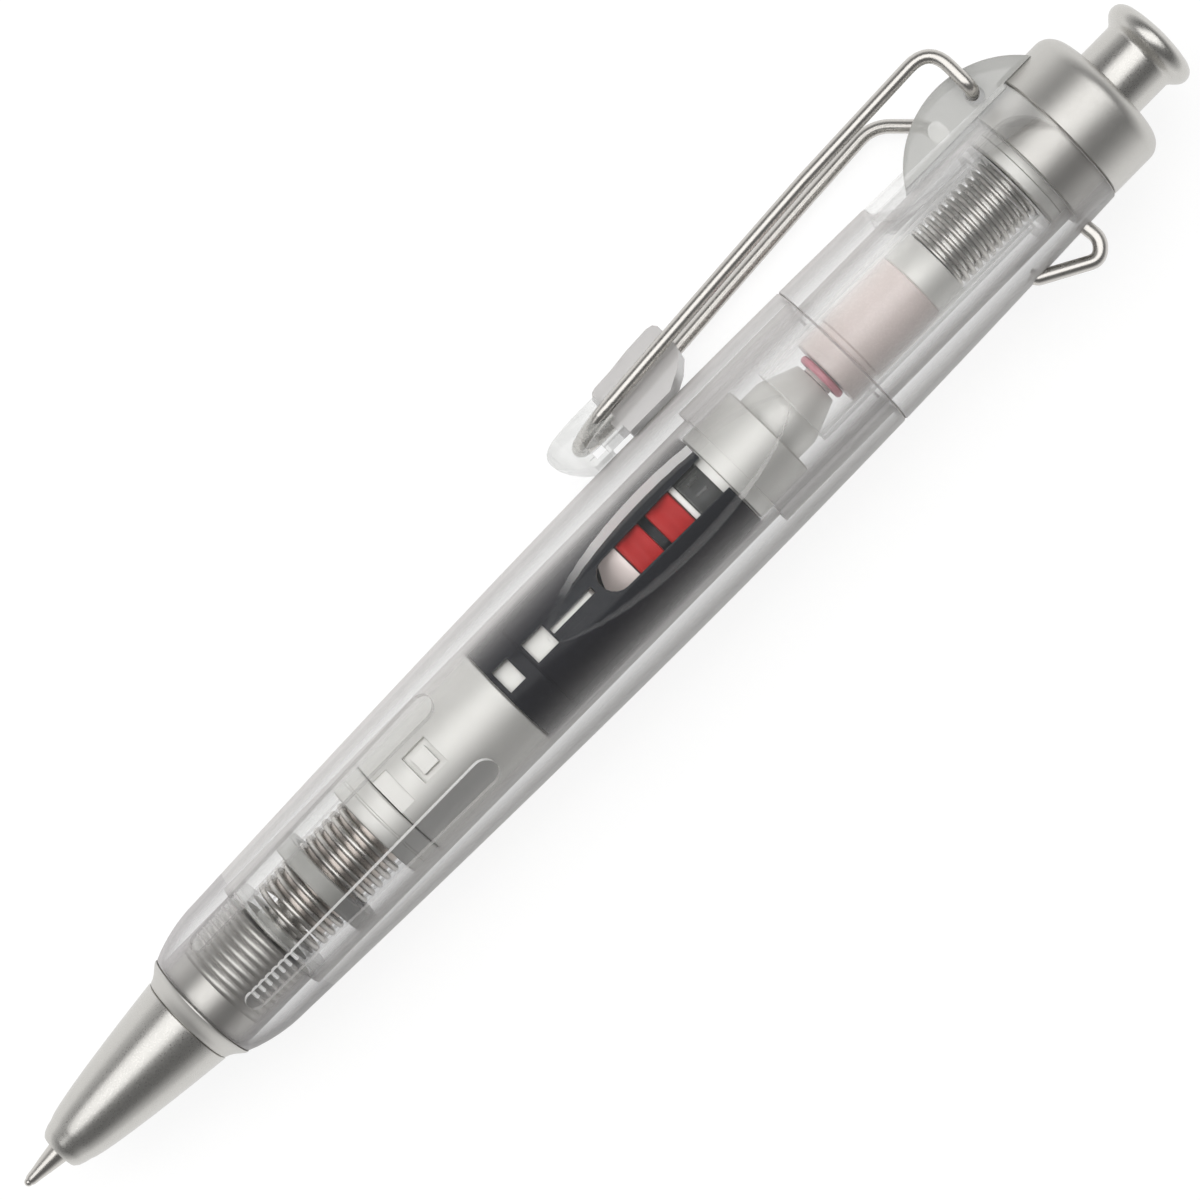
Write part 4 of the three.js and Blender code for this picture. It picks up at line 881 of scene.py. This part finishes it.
class PEN_OT_front_stack(PieceOperator):
    """Builds the spring seat, collar, nut and refill holder"""

    bl_idname = "pen.front_stack"
    bl_label = "Front stack"

    def build(self, sizes, finish):
        front, rear = span("spring_seat")
        seat = turned("spring_seat_ring", [
            *beyond(front, (2.0, 0), (3.1, 0), (3.2, 0.1), (3.2, 0.4), (4.95, 0.4), (5.05, 0.5)),
            *beyond(rear, (5.05, -0.1), (4.95, 0), (3.2, 0), (2.0, 0)),
        ])
        coat(seat, finish["inner"])
        paint_where(seat, finish["clear"], lambda middle: math.hypot(middle.y, middle.z) > 3.21)
        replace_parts(settle(seat, "barrel"), "spring_seat")
        front, rear = span("guide_collar")
        collar = tube("guide_collar_ring", front, rear, 3.75, 5.05, 0.12)
        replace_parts(settle(collar, "barrel", finish["ear"]), "guide_collar")
        sleeve, rear = span("holder_nut")
        front = rear - 2.65
        nut = turned("holder_nut_turned", [
            *beyond(sleeve, (1.7, 0), (2.65, 0), (2.75, 0.1)),
            *beyond(front, (2.75, 0), (4.6, 0), (4.85, 0.12), (4.95, 0.4), (4.95, 1.1), (4.88, 1.18),
                    (4.88, 1.3), (4.95, 1.38)), (4.95, rear - 0.12), (4.85, rear), (1.7, rear),
        ])
        coat(nut, finish["inner"])
        paint_where(nut, finish["bronze"], before(front - 0.02))
        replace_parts(settle(nut, "refill"), "holder_nut")
        front, rear = span("refill_holder")
        spigot_front = span("pressure_cylinder")[0] - SEAM
        holder = turned("refill_holder_turned", [
            *beyond(front, (1.7, 0), (4.85, 0), (4.95, 0.1)),
            *beyond(spigot_front, (4.95, -0.1), (4.85, 0), (4.1, 0)),
            *beyond(rear, (4.1, -0.2), (3.9, 0), (1.7, 0)),
        ])
        for middle in (7, 187):
            latch = prism("latch", box_plan(front + 2.9, front + 5.3, -1.35, 1.35), 4.35, 6, middle)
            combine(holder, latch)
            tongue = prism("tongue", box_plan(front + 3.35, front + 4.85, -0.85, 0.85), 4.2, 4.8, middle)
            combine(holder, tongue, "UNION")
            bracket = prism("bracket", box_plan(front - 1, front + 1.45, -1.65, 1.65), 4.6, 6, middle)
            combine(holder, bracket)
        round_edges(holder, 0.05, 50, 1)
        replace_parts(settle(holder, "refill", finish["inner"]), "refill_holder")


class PEN_OT_pressure_cylinder(PieceOperator):
    """Builds the black pressure cylinder with its slots, and the silver end behind it"""

    bl_idname = "pen.pressure_cylinder"
    bl_label = "Pressure cylinder"

    def build(self, sizes, finish):
        front, rear = span("pressure_cylinder")
        bore, outer = 4.2, 4.65
        step = front + 3.2
        body = turned("pressure_cylinder_sleeve", [
            (bore, front), (outer - 0.08, front), (outer, front + 0.08),
            *beyond(step, (outer, -0.08), (outer - 0.1, -0.04), (outer - 0.1, 0.04), (outer, 0.08)),
            (outer, rear - 0.08), (outer - 0.08, rear), (bore, rear),
        ])
        for middle in (0, 180):
            sight = slot_plan(front + 11, rear + 3, 2.9, 3.3)
            combine(body, prism("sight", sight, 2, 6, middle + 3.5))
            for start, stop, low, high in ((0.4, 2, -1.1, 1.1), (3.5, 5.7, -1, 1), (5.9, 10.4, -0.28, 0.28)):
                cut = prism("slot", box_plan(front + start, front + stop, low, high), 2, 6, middle + 7)
                combine(body, cut)
        round_edges(body, 0.06, 50, 2)
        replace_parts(settle(body, "refill", finish["black"]), "pressure_cylinder")
        inside, rear = span("cylinder_end")
        front = span("pressure_cylinder")[1] + SEAM
        end = turned("cylinder_end_turned", [
            (3.8, inside), (4.1, inside), (4.1, front), (4.2, front), (4.3, front + 0.1), (4.3, rear - 0.15),
            (4.15, rear), (3.8, rear),
        ])
        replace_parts(settle(end, "refill", finish["inner"]), "cylinder_end")


# Piston

class PEN_OT_piston(PieceOperator):
    """Builds the piston head, its seals and rings, and the rod that pushes it"""

    bl_idname = "pen.piston"
    bl_label = "Piston"

    def build(self, sizes, finish):
        nose, rear = span("piston_head")
        seal_front = span("piston_seal_front")[0]
        spacer_rear = span("spacer_ring")[1]
        rod_front = span("piston_rod")[0]
        head = turned("piston_head_turned", [
            *beyond(nose, (0, 0), (0.5, 0.04), (0.9, 0.2), (1.8, 0.7), (2.7, 1.25), (3.5, 1.85), (3.82, 2.25),
                    (3.9, 2.5)), (3.9, seal_front - SEAM),
            (3.3, seal_front - SEAM), (3.3, spacer_rear), (2.0, spacer_rear), (2.0, rear - 0.1), (1.9, rear),
            (0.8, rear), (0.8, rod_front - SEAM), (0, rod_front - SEAM),
        ])
        # The piston nose has a painted glow
        coat(head, finish["nose_pink_glow"])
        # Painted shade: the head behind the front seal is black, standing for the shade between the seals
        paint_where(head, finish["black"], behind(seal_front - SEAM / 2))
        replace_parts(settle(head, "knob"), "piston_head")
        for name, node in (("seal_front_ring", "piston_seal_front"), ("seal_rear_ring", "piston_seal_rear")):
            front, rear = span(node)
            waist = (front + rear) / 2
            seal = turned(name, [
                *beyond(front, (3.4, 0), (3.9, 0), (4.05, 0.08), (4.1, 0.3), (4.06, 0.6)),
                *beyond(waist, (3.9, -0.25), (3.86, 0), (3.9, 0.25)),
                *beyond(rear, (4.06, -0.6), (4.1, -0.3), (4.05, -0.08), (3.9, 0), (3.4, 0)),
            ])
            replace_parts(settle(seal, "knob", finish["red"]), node)
        front, rear = span("spacer_ring")
        spacer = tube("spacer_ring_turned", front, rear, 3.4, 3.9, 0.08)
        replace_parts(settle(spacer, "knob", finish["white"]), "spacer_ring")
        front, rear = span("stop_ring")
        ring = tube("stop_ring_turned", front, rear, 2.1, 3.65, 0.1)
        for quarter in range(8):
            notch = box_plan(front + 0.7, rear - 0.7, -0.55, 0.55)
            combine(ring, prism("notch", notch, 2.9, 5, 45 * quarter + 10))
        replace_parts(settle(ring, "knob", finish["clear"]), "stop_ring")
        front, rear = span("piston_rod")
        rod = turned("piston_rod_turned", [
            *beyond(front, (0, 0), (0.6, 0), (0.7, 0.1)), *beyond(rear, (0.7, -0.1), (0.6, 0), (0, 0)),
        ], 32)
        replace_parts(settle(rod, "knob", finish["steel"]), "piston_rod")


# Rear stack

class PEN_OT_rear_stack(PieceOperator):
    """Builds the valve cone, plunger, inner tube, cam rotor and knock guide"""

    bl_idname = "pen.rear_stack"
    bl_label = "Rear stack"

    def build(self, sizes, finish):
        front, rear = span("valve_cone")
        valve = turned("valve_cone_turned", [
            *beyond(front, (0.8, 0), (3.6, 0), (3.7, 0.1), (3.7, 0.7), (3.15, 0.75)),
            *beyond(rear, (3.15, -3.3), (3.05, -2.9), (1.95, -0.1), (1.85, 0), (0.8, 0)),
        ])
        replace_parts(settle(valve, "refill", finish["inner"]), "valve_cone")
        front, rear = span("plunger")
        ring_front, ring_rear = span("plunger_ring")
        plunger = turned("plunger_turned", [
            (0.8, front), (1.3, front),
            *beyond(ring_rear, (1.3, SEAM), (3.05, SEAM), (3.15, 0.2), (3.15, 2.2), (2.95, 2.35), (2.95, 2.7),
                    (3.15, 2.85)),
            *beyond(rear, (3.15, -0.1), (3.06, 0), (3.15, 0.1), (3.15, 2.5), (3.1, 2.6), (3.0, 2.6), (3.0, 0),
                    (0.8, 0)),
        ])
        coat(plunger, finish["pink"])
        paint_where(plunger, finish["inner"], behind(rear + 0.02))
        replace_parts(settle(plunger, "refill"), "plunger")
        ring = tube("plunger_ring_turned", ring_front, ring_rear, 1.4, 2.1, 0.15)
        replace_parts(settle(ring, "refill", finish["rose"]), "plunger_ring")
        front, rear = span("inner_tube")
        sleeve = turned("inner_tube_turned", [
            *beyond(front, (3.25, 0.08), (3.33, 0), (3.57, 0), (3.65, 0.08)),
            *beyond(rear, (3.65, -1), (4.85, -1), (4.95, -0.9), (4.95, -0.1), (4.85, 0), (3.25, 0)),
        ])
        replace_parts(settle(sleeve, "barrel", finish["tube"]), "inner_tube")
        sleeve, rear = span("cam_rotor")
        front = rear - 2.8
        rotor = turned("cam_rotor_body", [
            *beyond(sleeve, (0.8, 0), (2.2, 0), (2.3, 0.1)), *beyond(front, (2.3, 0), (2.84, 0), (2.9, 0.06)),
            *beyond(rear, (2.9, -0.06), (2.84, 0), (0.8, 0)),
        ])
        coat(rotor, finish["white"])
        paint_where(rotor, finish["silver"], before(front - 0.02))
        guide_front, guide_rear = span("knock_guide")
        guide = turned("knock_guide_body", [
            *beyond(guide_front, (3.95, 0), (4.85, 0), (4.95, 0.1), (4.95, 0.9), (4.85, 1), (4.75, 1)),
            *beyond(guide_rear, (4.75, -0.1), (4.65, 0), (3.95, 0)),
        ])
        for lug in range(4):
            plan = box_plan(rear - 1.4, rear, -0.75, 0.75)
            combine(rotor, coat(prism("lug", plan, 2.5, 3.8, 90 * lug), finish["white"]), "UNION")
        for tooth in range(8):
            plan = [(rear - 0.7, 0), (rear + 0.2, 1.3), (rear + 0.2, -1.3)]
            combine(rotor, coat(prism("tooth", plan, 0, 5, 45 * tooth + 22.5), finish["white"]))
        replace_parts(settle(rotor, "rotor"), "cam_rotor")
        rib_shell = tube("ribs", rear + 0.3, guide_rear - 0.05, 3.25, 4.2, 0)
        for rib in range(4):
            gap = prism("gap", box_plan(rear - 1, guide_rear + 1, -1.25, 1.25), 2, 5, 90 * rib)
            combine(rib_shell, gap)
        combine(guide, rib_shell, "UNION")
        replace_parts(settle(guide, "barrel", finish["inner"]), "knock_guide")


class PEN_OT_cap_and_knob(PieceOperator):
    """Turns the end cap and the knob with its bead"""

    bl_idname = "pen.cap_and_knob"
    bl_label = "Cap and knob"

    def build(self, sizes, finish):
        front, rear = span("end_cap")
        rim = BARREL_REAR + SEAM
        rounding = [
            (6.2 - 1.6 * (1 - math.cos(math.pi / 2 * part)), rear - 1.5 + 1.5 * math.sin(math.pi / 2 * part))
            for part in steps(14)
        ]
        cap = turned("end_cap_turned", [
            (4.85, front), (5.65, front), (5.65, rim), (6.12, rim), (6.2, rim + 0.08), *rounding,
            (3.33, rear), (3.25, rear - 0.08), (3.25, rear - 0.3), (4.85, rear - 0.3),
        ], 128)
        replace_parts(settle(cap, "barrel", finish["cap"]), "end_cap")
        front, end = span("knock_knob")
        bead = end - 2.4
        knob = turned("knock_knob_turned", [
            *beyond(front, (2.2, 0), (3.05, 0), (3.15, 0.1)),
            *beyond(bead, (3.15, -0.1), (3.17, 0), (3.3, 0.2), (3.55, 0.42), (3.8, 0.68), (3.95, 0.95),
                    (4.0, 1.2), (3.97, 1.5), (3.86, 1.75), (3.66, 1.95), (3.4, 2.1), (2.9, 2.22),
                    (2.3, 2.32)),
            (1.8, end), (0, end), *beyond(rear, (0, SEAM), (0.8, SEAM), (0.8, -3.5), (2.2, -3.5)),
        ], 128)
        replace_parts(settle(knob, "knob", finish["silver"]), "knock_knob")


# Clip and loop

def bent_line(corners, arc_steps=8):
    """The middle line of a wire bent at its corners, each an arc of its own reach"""
    line = [corners[0][0]]
    for (before, _), (point, bend), (after, _) in zip(corners, corners[1:], corners[2:]):
        back, ahead = before - point, after - point
        half = back.angle(ahead) / 2
        reach = min(bend / math.tan(half), 0.49 * back.length, 0.49 * ahead.length)
        start = point + back.normalized() * reach
        stop = point + ahead.normalized() * reach
        for part in steps(arc_steps):
            line.append(start.lerp(point, part).lerp(point.lerp(stop, part), part))
    line.append(corners[-1][0])
    return line


def clip_point(across, place, height):
    """A bench point by its distance towards the near side, its place and its height on the clip side"""
    return Vector((-place, -height, across))


def clip_height(place):
    """The height of the clip wire's middle line at a place"""
    hairpin = HINGE_PLACE - CLIP_REACH
    part = (place - hairpin) / (CLIP_REACH - 3.2)
    return 11.5 - 2.1 * max(0, 1 - part) ** 1.15


def clip_line():
    """The middle line of the clip wire: near pin, near leg, hairpin, far leg, far pin"""
    half = CLIP_HALF
    pin = 1.8
    near_leg, far_leg = HINGE_PLACE + PIN_OFFSET, HINGE_PLACE - PIN_OFFSET
    far_top = far_leg - 3
    bend_place = HINGE_PLACE - CLIP_REACH + half
    run = [blend(bend_place, far_top, part) for part in (0.75, 0.45, 0.2)]
    corners = [
        (clip_point(pin, near_leg, HINGE_HEIGHT), 0), (clip_point(half, near_leg, HINGE_HEIGHT), 1),
        (clip_point(half, near_leg + 0.1, clip_height(near_leg)), 3.2),
    ]
    corners += [(clip_point(half, place, clip_height(place)), 12) for place in run]
    corners.append((clip_point(half, bend_place, clip_height(bend_place)), 1))
    for part in steps(20)[1:-1]:
        turn = math.pi * part
        place = bend_place - half * math.sin(turn)
        corners.append((clip_point(half * math.cos(turn), place, clip_height(place)), 1))
    corners.append((clip_point(-half, bend_place, clip_height(bend_place)), 1))
    corners += [(clip_point(-half, place, clip_height(place)), 12) for place in reversed(run)]
    corners += [
        (clip_point(-half, far_top, clip_height(far_top)), 3.2),
        (clip_point(-half, far_leg - 0.1, HINGE_HEIGHT + 1.6), 1.2),
        (clip_point(-half, far_leg, HINGE_HEIGHT), 1), (clip_point(-pin, far_leg, HINGE_HEIGHT), 0),
    ]
    return bent_line(corners)


class PEN_OT_clip(PieceOperator):
    """Bends the clip wire and models the clear shoe on its end"""

    bl_idname = "pen.clip"
    bl_label = "Clip"

    def build(self, sizes, finish):
        line = clip_line()
        hairpin = wire("clip_wire_bent", line, 0.57)
        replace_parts(settle(hairpin, "clip", finish["steel"], 60), "clip_wire")
        nose, rear = span("clip_shoe")
        nose += 0.25
        foot = barrel_radius(WINDOW_MIDDLE) + 0.12
        step = nose + 6.1

        def past(start, *outline):
            """The (place, height) pairs of an outline counted from a start and from the foot"""
            return [(start + place, foot + height) for place, height in outline]

        cheeks = side_block("clip_shoe_moulded", [
            *past(nose, (2.3, 0), (1.2, 0.85), (0.5, 1.65), (0.12, 2.35), (0, 2.95), (0.1, 3.3), (0.4, 3.58),
                  (0.9, 3.72), (1.5, 3.78)), *past(step, (0, 3.78), (0, 0)),
        ], 4.4)
        half = 4.5
        round_nose = [
            (nose + 5 - 5 * math.sin(math.pi * part), half * math.cos(math.pi * part)) for part in steps(48)
        ]
        plan = [*round_nose, (step + 1, -half), (step + 1, half)]
        combine(cheeks, prism("round_nose", plan, foot - 1, foot + 5, 90), "INTERSECT")
        under = side_block("under", box_plan(nose + 2.4, step + 1, foot - 1, foot + 1.5), 5.5)
        combine(under, side_block("web", box_plan(nose, step + 2, foot - 2, foot + 2), 3.2))
        combine(cheeks, under)
        tail = side_block("tail", [
            *past(step, (-0.6, 0.75), (0, 0.75), (0, 0), (4.4, 0), (6.1, 0.9), (7.1, 1.8)),
            *past(rear, (0, 2.5), (0, 4.2), (-0.25, 4.55), (-0.8, 4.68), (-3, 4.6)),
            *past(step, (2.2, 4.38), (0.5, 4.32), (0.1, 4.2), (-0.3, 3.78), (-0.6, 3.7)),
        ], 3.3)
        shoe = combine(cheeks, tail, "UNION")
        for low, high, start, stop in ((0.35, 1.85, 2.9, 3.9), (-0.5, 0.75, 4.2, 6.1)):
            gap = box_plan(nose + start, nose + stop, foot + low, foot + high)
            combine(shoe, side_block("gap", gap, 6))
        round_edges(shoe, 0.14, 40, 3)
        coat(shoe, finish["solid_clear"])
        paint_where(shoe, finish["nose_clear"], lambda middle: abs(middle.z) > 3.4 or -middle.x < step - 0.7)
        combine(shoe, coat(wire("wire_groove", line, 0.62, 12), finish["window"]))
        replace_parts(settle(shoe, "clip"), "clip_shoe")


class PEN_OT_ear(PieceOperator):
    """Builds the half-disc ear on its curved foot"""

    bl_idname = "pen.ear"
    bl_label = "Clip ear"

    def build(self, sizes, finish):
        centre, radius = HINGE_PLACE, 8.6
        rim = [
            (centre - radius * math.cos(math.pi * part), 0.4 + radius * math.sin(math.pi * part))
            for part in steps(64)
        ]
        low = 3.0
        above = [point for point in rim if point[1] > low]
        outline = [(centre - radius, low), *above, (centre + radius, low)]
        ear = side_block("clip_ear_moulded", outline, EAR_HALF)
        round_edges(ear, 0.3, 60, 3)
        keep_out = turned("keep_out", [
            (0, centre - 12), (5.95, centre - 12), (5.95, BARREL_REAR - 0.2), (6.25, BARREL_REAR - 0.2),
            (6.25, centre + 15), (0, centre + 15),
        ])
        combine(ear, keep_out)
        coat(ear, finish["ear"])
        saddle = coat(saddle_block(0, CAP_SEAT_RADIUS + SEAM, 0), finish["saddle"])
        combine(saddle, side_block("slot", outline, EAR_HALF + 0.02))
        for side in (-1, 1):
            # Painted shade in the near pin hole, and a painted glint in the far one
            combine(ear, coat(self.pin_hole(side), finish["shade" if side > 0 else "hole_glint"]))
            combine(saddle, coat(self.pin_hole(side), finish["saddle"]))
        pick(ear)
        saddle.select_set(True)
        bpy.ops.object.join()
        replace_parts(settle(ear, "barrel"), "clip_ear")

    @staticmethod
    def pin_hole(side):
        """The hole for one end of the clip wire, long enough for the end to move as the clip opens"""
        centre = HINGE_PLACE + side * PIN_OFFSET
        near_end, far_end = sorted((HINGE_HEIGHT, HINGE_HEIGHT - side * PIN_TRAVEL))
        outline = []
        for middle, start in ((far_end, 0), (near_end, math.pi)):
            outline += [
                (centre + PIN_HOLE_RADIUS * math.cos(start + math.pi * part),
                 middle + PIN_HOLE_RADIUS * math.sin(start + math.pi * part)) for part in steps(16)
            ]
        hole = side_block("pin_hole", outline, 1.3)
        for vertex in hole.data.vertices:
            vertex.co.z += side * EAR_HALF
        return hole


class PEN_OT_loop(PieceOperator):
    """Bends the lanyard loop"""

    bl_idname = "pen.loop"
    bl_label = "Lanyard loop"

    def build(self, sizes, finish):
        leg = BARREL_REAR - 3.4
        slanted = leg - 5.6
        line = bent_line([
            (clip_point(0, slanted, -5.95), 0), (clip_point(0, slanted + 0.3, -6.55), 0.6),
            (clip_point(0, leg - 1.0, -8.95), 2.2), (clip_point(0, leg + 0.2, -7.9), 2.2),
            (clip_point(0, leg, -5.95), 0),
        ])
        loop = wire("lanyard_loop_bent", line, 0.6)
        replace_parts(settle(loop, "barrel", finish["steel"], 60), "lanyard_loop")


# Stage

def aim(obj, position, target, up):
    """Places an object and turns its -Z towards the target"""
    back = (position - target).normalized()
    right = up.cross(back).normalized()
    turn = Matrix((right, back.cross(right), back)).transposed()
    obj.matrix_world = Matrix.Translation(position) @ turn.to_4x4()


class PEN_OT_stage(bpy.types.Operator):
    """Lays the floor and sets the lights and the camera"""

    bl_idname = "pen.stage"
    bl_label = "Stage"
    bl_options = {"REGISTER", "UNDO"}

    def execute(self, context):
        scene = context.scene
        scene.view_settings.view_transform = "Standard"
        scene.cycles.transparent_max_bounces = 32
        axis_turn = BENCH_TO_FLOOR.to_3x3().normalized()
        along = axis_turn @ Vector((-1, 0, 0))
        clip_side = axis_turn @ Vector((0, -1, 0))
        near_side = axis_turn @ Vector((0, 0, 1))
        cosine, sine = math.cos(CAMERA_TILT), math.sin(CAMERA_TILT)
        toward_camera = near_side * cosine - clip_side * sine
        across = clip_side * cosine + near_side * sine
        self.camera(scene, along, across, toward_camera)
        self.floor(scene)
        self.world(scene)
        middle = BENCH_TO_FLOOR @ at(62)
        level = along - across * 0.46
        self.softbox(
            "key_softbox", middle, toward_camera + across * 0.2, level.normalized(),
            distance=0.62, size=(1.2, 0.54), radiance=1.6)
        fill = self.softbox(
            "fill_softbox", middle, toward_camera + across * 0.75, along,
            distance=0.9, size=(1.2, 0.9), radiance=2.0)
        fill.visible_glossy = False
        return {"FINISHED"}

    @staticmethod
    def camera(scene, along, across, toward_camera):
        data = bpy.data.cameras.new("camera")
        data.lens = 150
        data.sensor_width = 36
        camera = bpy.data.objects.new("camera", data)
        scene.collection.objects.link(camera)
        scene.camera = camera
        target = BENCH_TO_FLOOR @ at(63.25) + across * 0.1 * MM
        position = BENCH_TO_FLOOR @ at(69.3) + toward_camera * CAMERA_DISTANCE
        aim(camera, position, target, along * math.sin(SLANT) + across * math.cos(SLANT))
        data.clip_start, data.clip_end = 0.01, 20

    @staticmethod
    def floor(scene):
        clear_selection()
        bpy.ops.mesh.primitive_plane_add(size=6, location=(0, 0, 0))
        floor = bpy.context.object
        floor.name = "floor"
        material, tree, shader = start_finish("pale_floor", scene.pen_colours.floor, 0.9)
        shader.inputs["Specular IOR Level"].default_value = 0
        tint(tree, shader, grain(tree, 300), scene.pen_colours.floor, 0.004)
        path = add_node(tree, "ShaderNodeLightPath")
        glow = add_node(tree, "ShaderNodeEmission", Strength=1.07)
        shown = path.outputs["Is Camera Ray"]
        for ray in ("Is Glossy Ray", "Is Transmission Ray"):
            shown = calculate(tree, "MAXIMUM", shown, path.outputs[ray])
        mix = add_node(tree, "ShaderNodeMixShader")
        tree.links.new(calculate(tree, "MULTIPLY", shown, 0.8), mix.inputs[0])
        tree.links.new(shader.outputs[0], mix.inputs[1])
        tree.links.new(glow.outputs[0], mix.inputs[2])
        tree.links.new(mix.outputs[0], tree.nodes["Material Output"].inputs["Surface"])
        floor.data.materials.append(material)

    @staticmethod
    def world(scene):
        world = bpy.data.worlds.new("studio")
        scene.world = world
        world.use_nodes = True
        tree = world.node_tree
        background = tree.nodes["Background"]
        background.inputs["Color"].default_value = (1, 1, 1, 1)
        direction = add_node(tree, "ShaderNodeTexCoord")
        parts = add_node(tree, "ShaderNodeSeparateXYZ")
        level = add_node(
            tree, "ShaderNodeMapRange", From_Min=0.2, From_Max=0.5, To_Min=0.62, To_Max=0.15)
        tree.links.new(direction.outputs["Generated"], parts.inputs[0])
        tree.links.new(parts.outputs["Z"], level.inputs["Value"])
        tree.links.new(level.outputs["Result"], background.inputs["Strength"])

    @staticmethod
    def softbox(name, middle, direction, along, distance, size, radiance):
        data = bpy.data.lights.new(name, "AREA")
        data.shape = "RECTANGLE"
        data.size, data.size_y = size
        data.energy = radiance * math.pi * size[0] * size[1]
        lamp = bpy.data.objects.new(name, data)
        bpy.context.scene.collection.objects.link(lamp)
        position = middle + direction.normalized() * distance
        aim(lamp, position, middle, direction.cross(along))
        return lamp


class PEN_PT_panel(bpy.types.Panel):
    """Lists the operators that build the pen"""

    bl_label = "Ballpoint pen"
    bl_idname = "PEN_PT_panel"
    bl_space_type = "VIEW_3D"
    bl_region_type = "UI"
    bl_category = "Pen"

    def draw(self, context):
        for group in (context.scene.pen_sizes, context.scene.pen_colours):
            for name in group.__annotations__:
                self.layout.prop(group, name)
        for operator in OPERATORS:
            self.layout.operator(operator.bl_idname)


OPERATORS = (
    PEN_OT_stage, PEN_OT_nose, PEN_OT_refill, PEN_OT_springs, PEN_OT_barrel_lower, PEN_OT_windows,
    PEN_OT_barrel_upper, PEN_OT_front_stack, PEN_OT_pressure_cylinder, PEN_OT_piston, PEN_OT_rear_stack,
    PEN_OT_cap_and_knob, PEN_OT_clip, PEN_OT_ear, PEN_OT_loop,
)
CLASSES = (PenSizes, PenColours, *OPERATORS, PEN_PT_panel)


def register():
    for item in CLASSES:
        bpy.utils.register_class(item)
    bpy.types.Scene.pen_sizes = PointerProperty(type=PenSizes)
    bpy.types.Scene.pen_colours = PointerProperty(type=PenColours)


def unregister():
    del bpy.types.Scene.pen_colours
    del bpy.types.Scene.pen_sizes
    for item in reversed(CLASSES):
        bpy.utils.unregister_class(item)


def main():
    register()
    for operator in OPERATORS:
        group, name = operator.bl_idname.split(".")
        getattr(getattr(bpy.ops, group), name)()
    clear_selection()


if __name__ == "__main__":
    main()
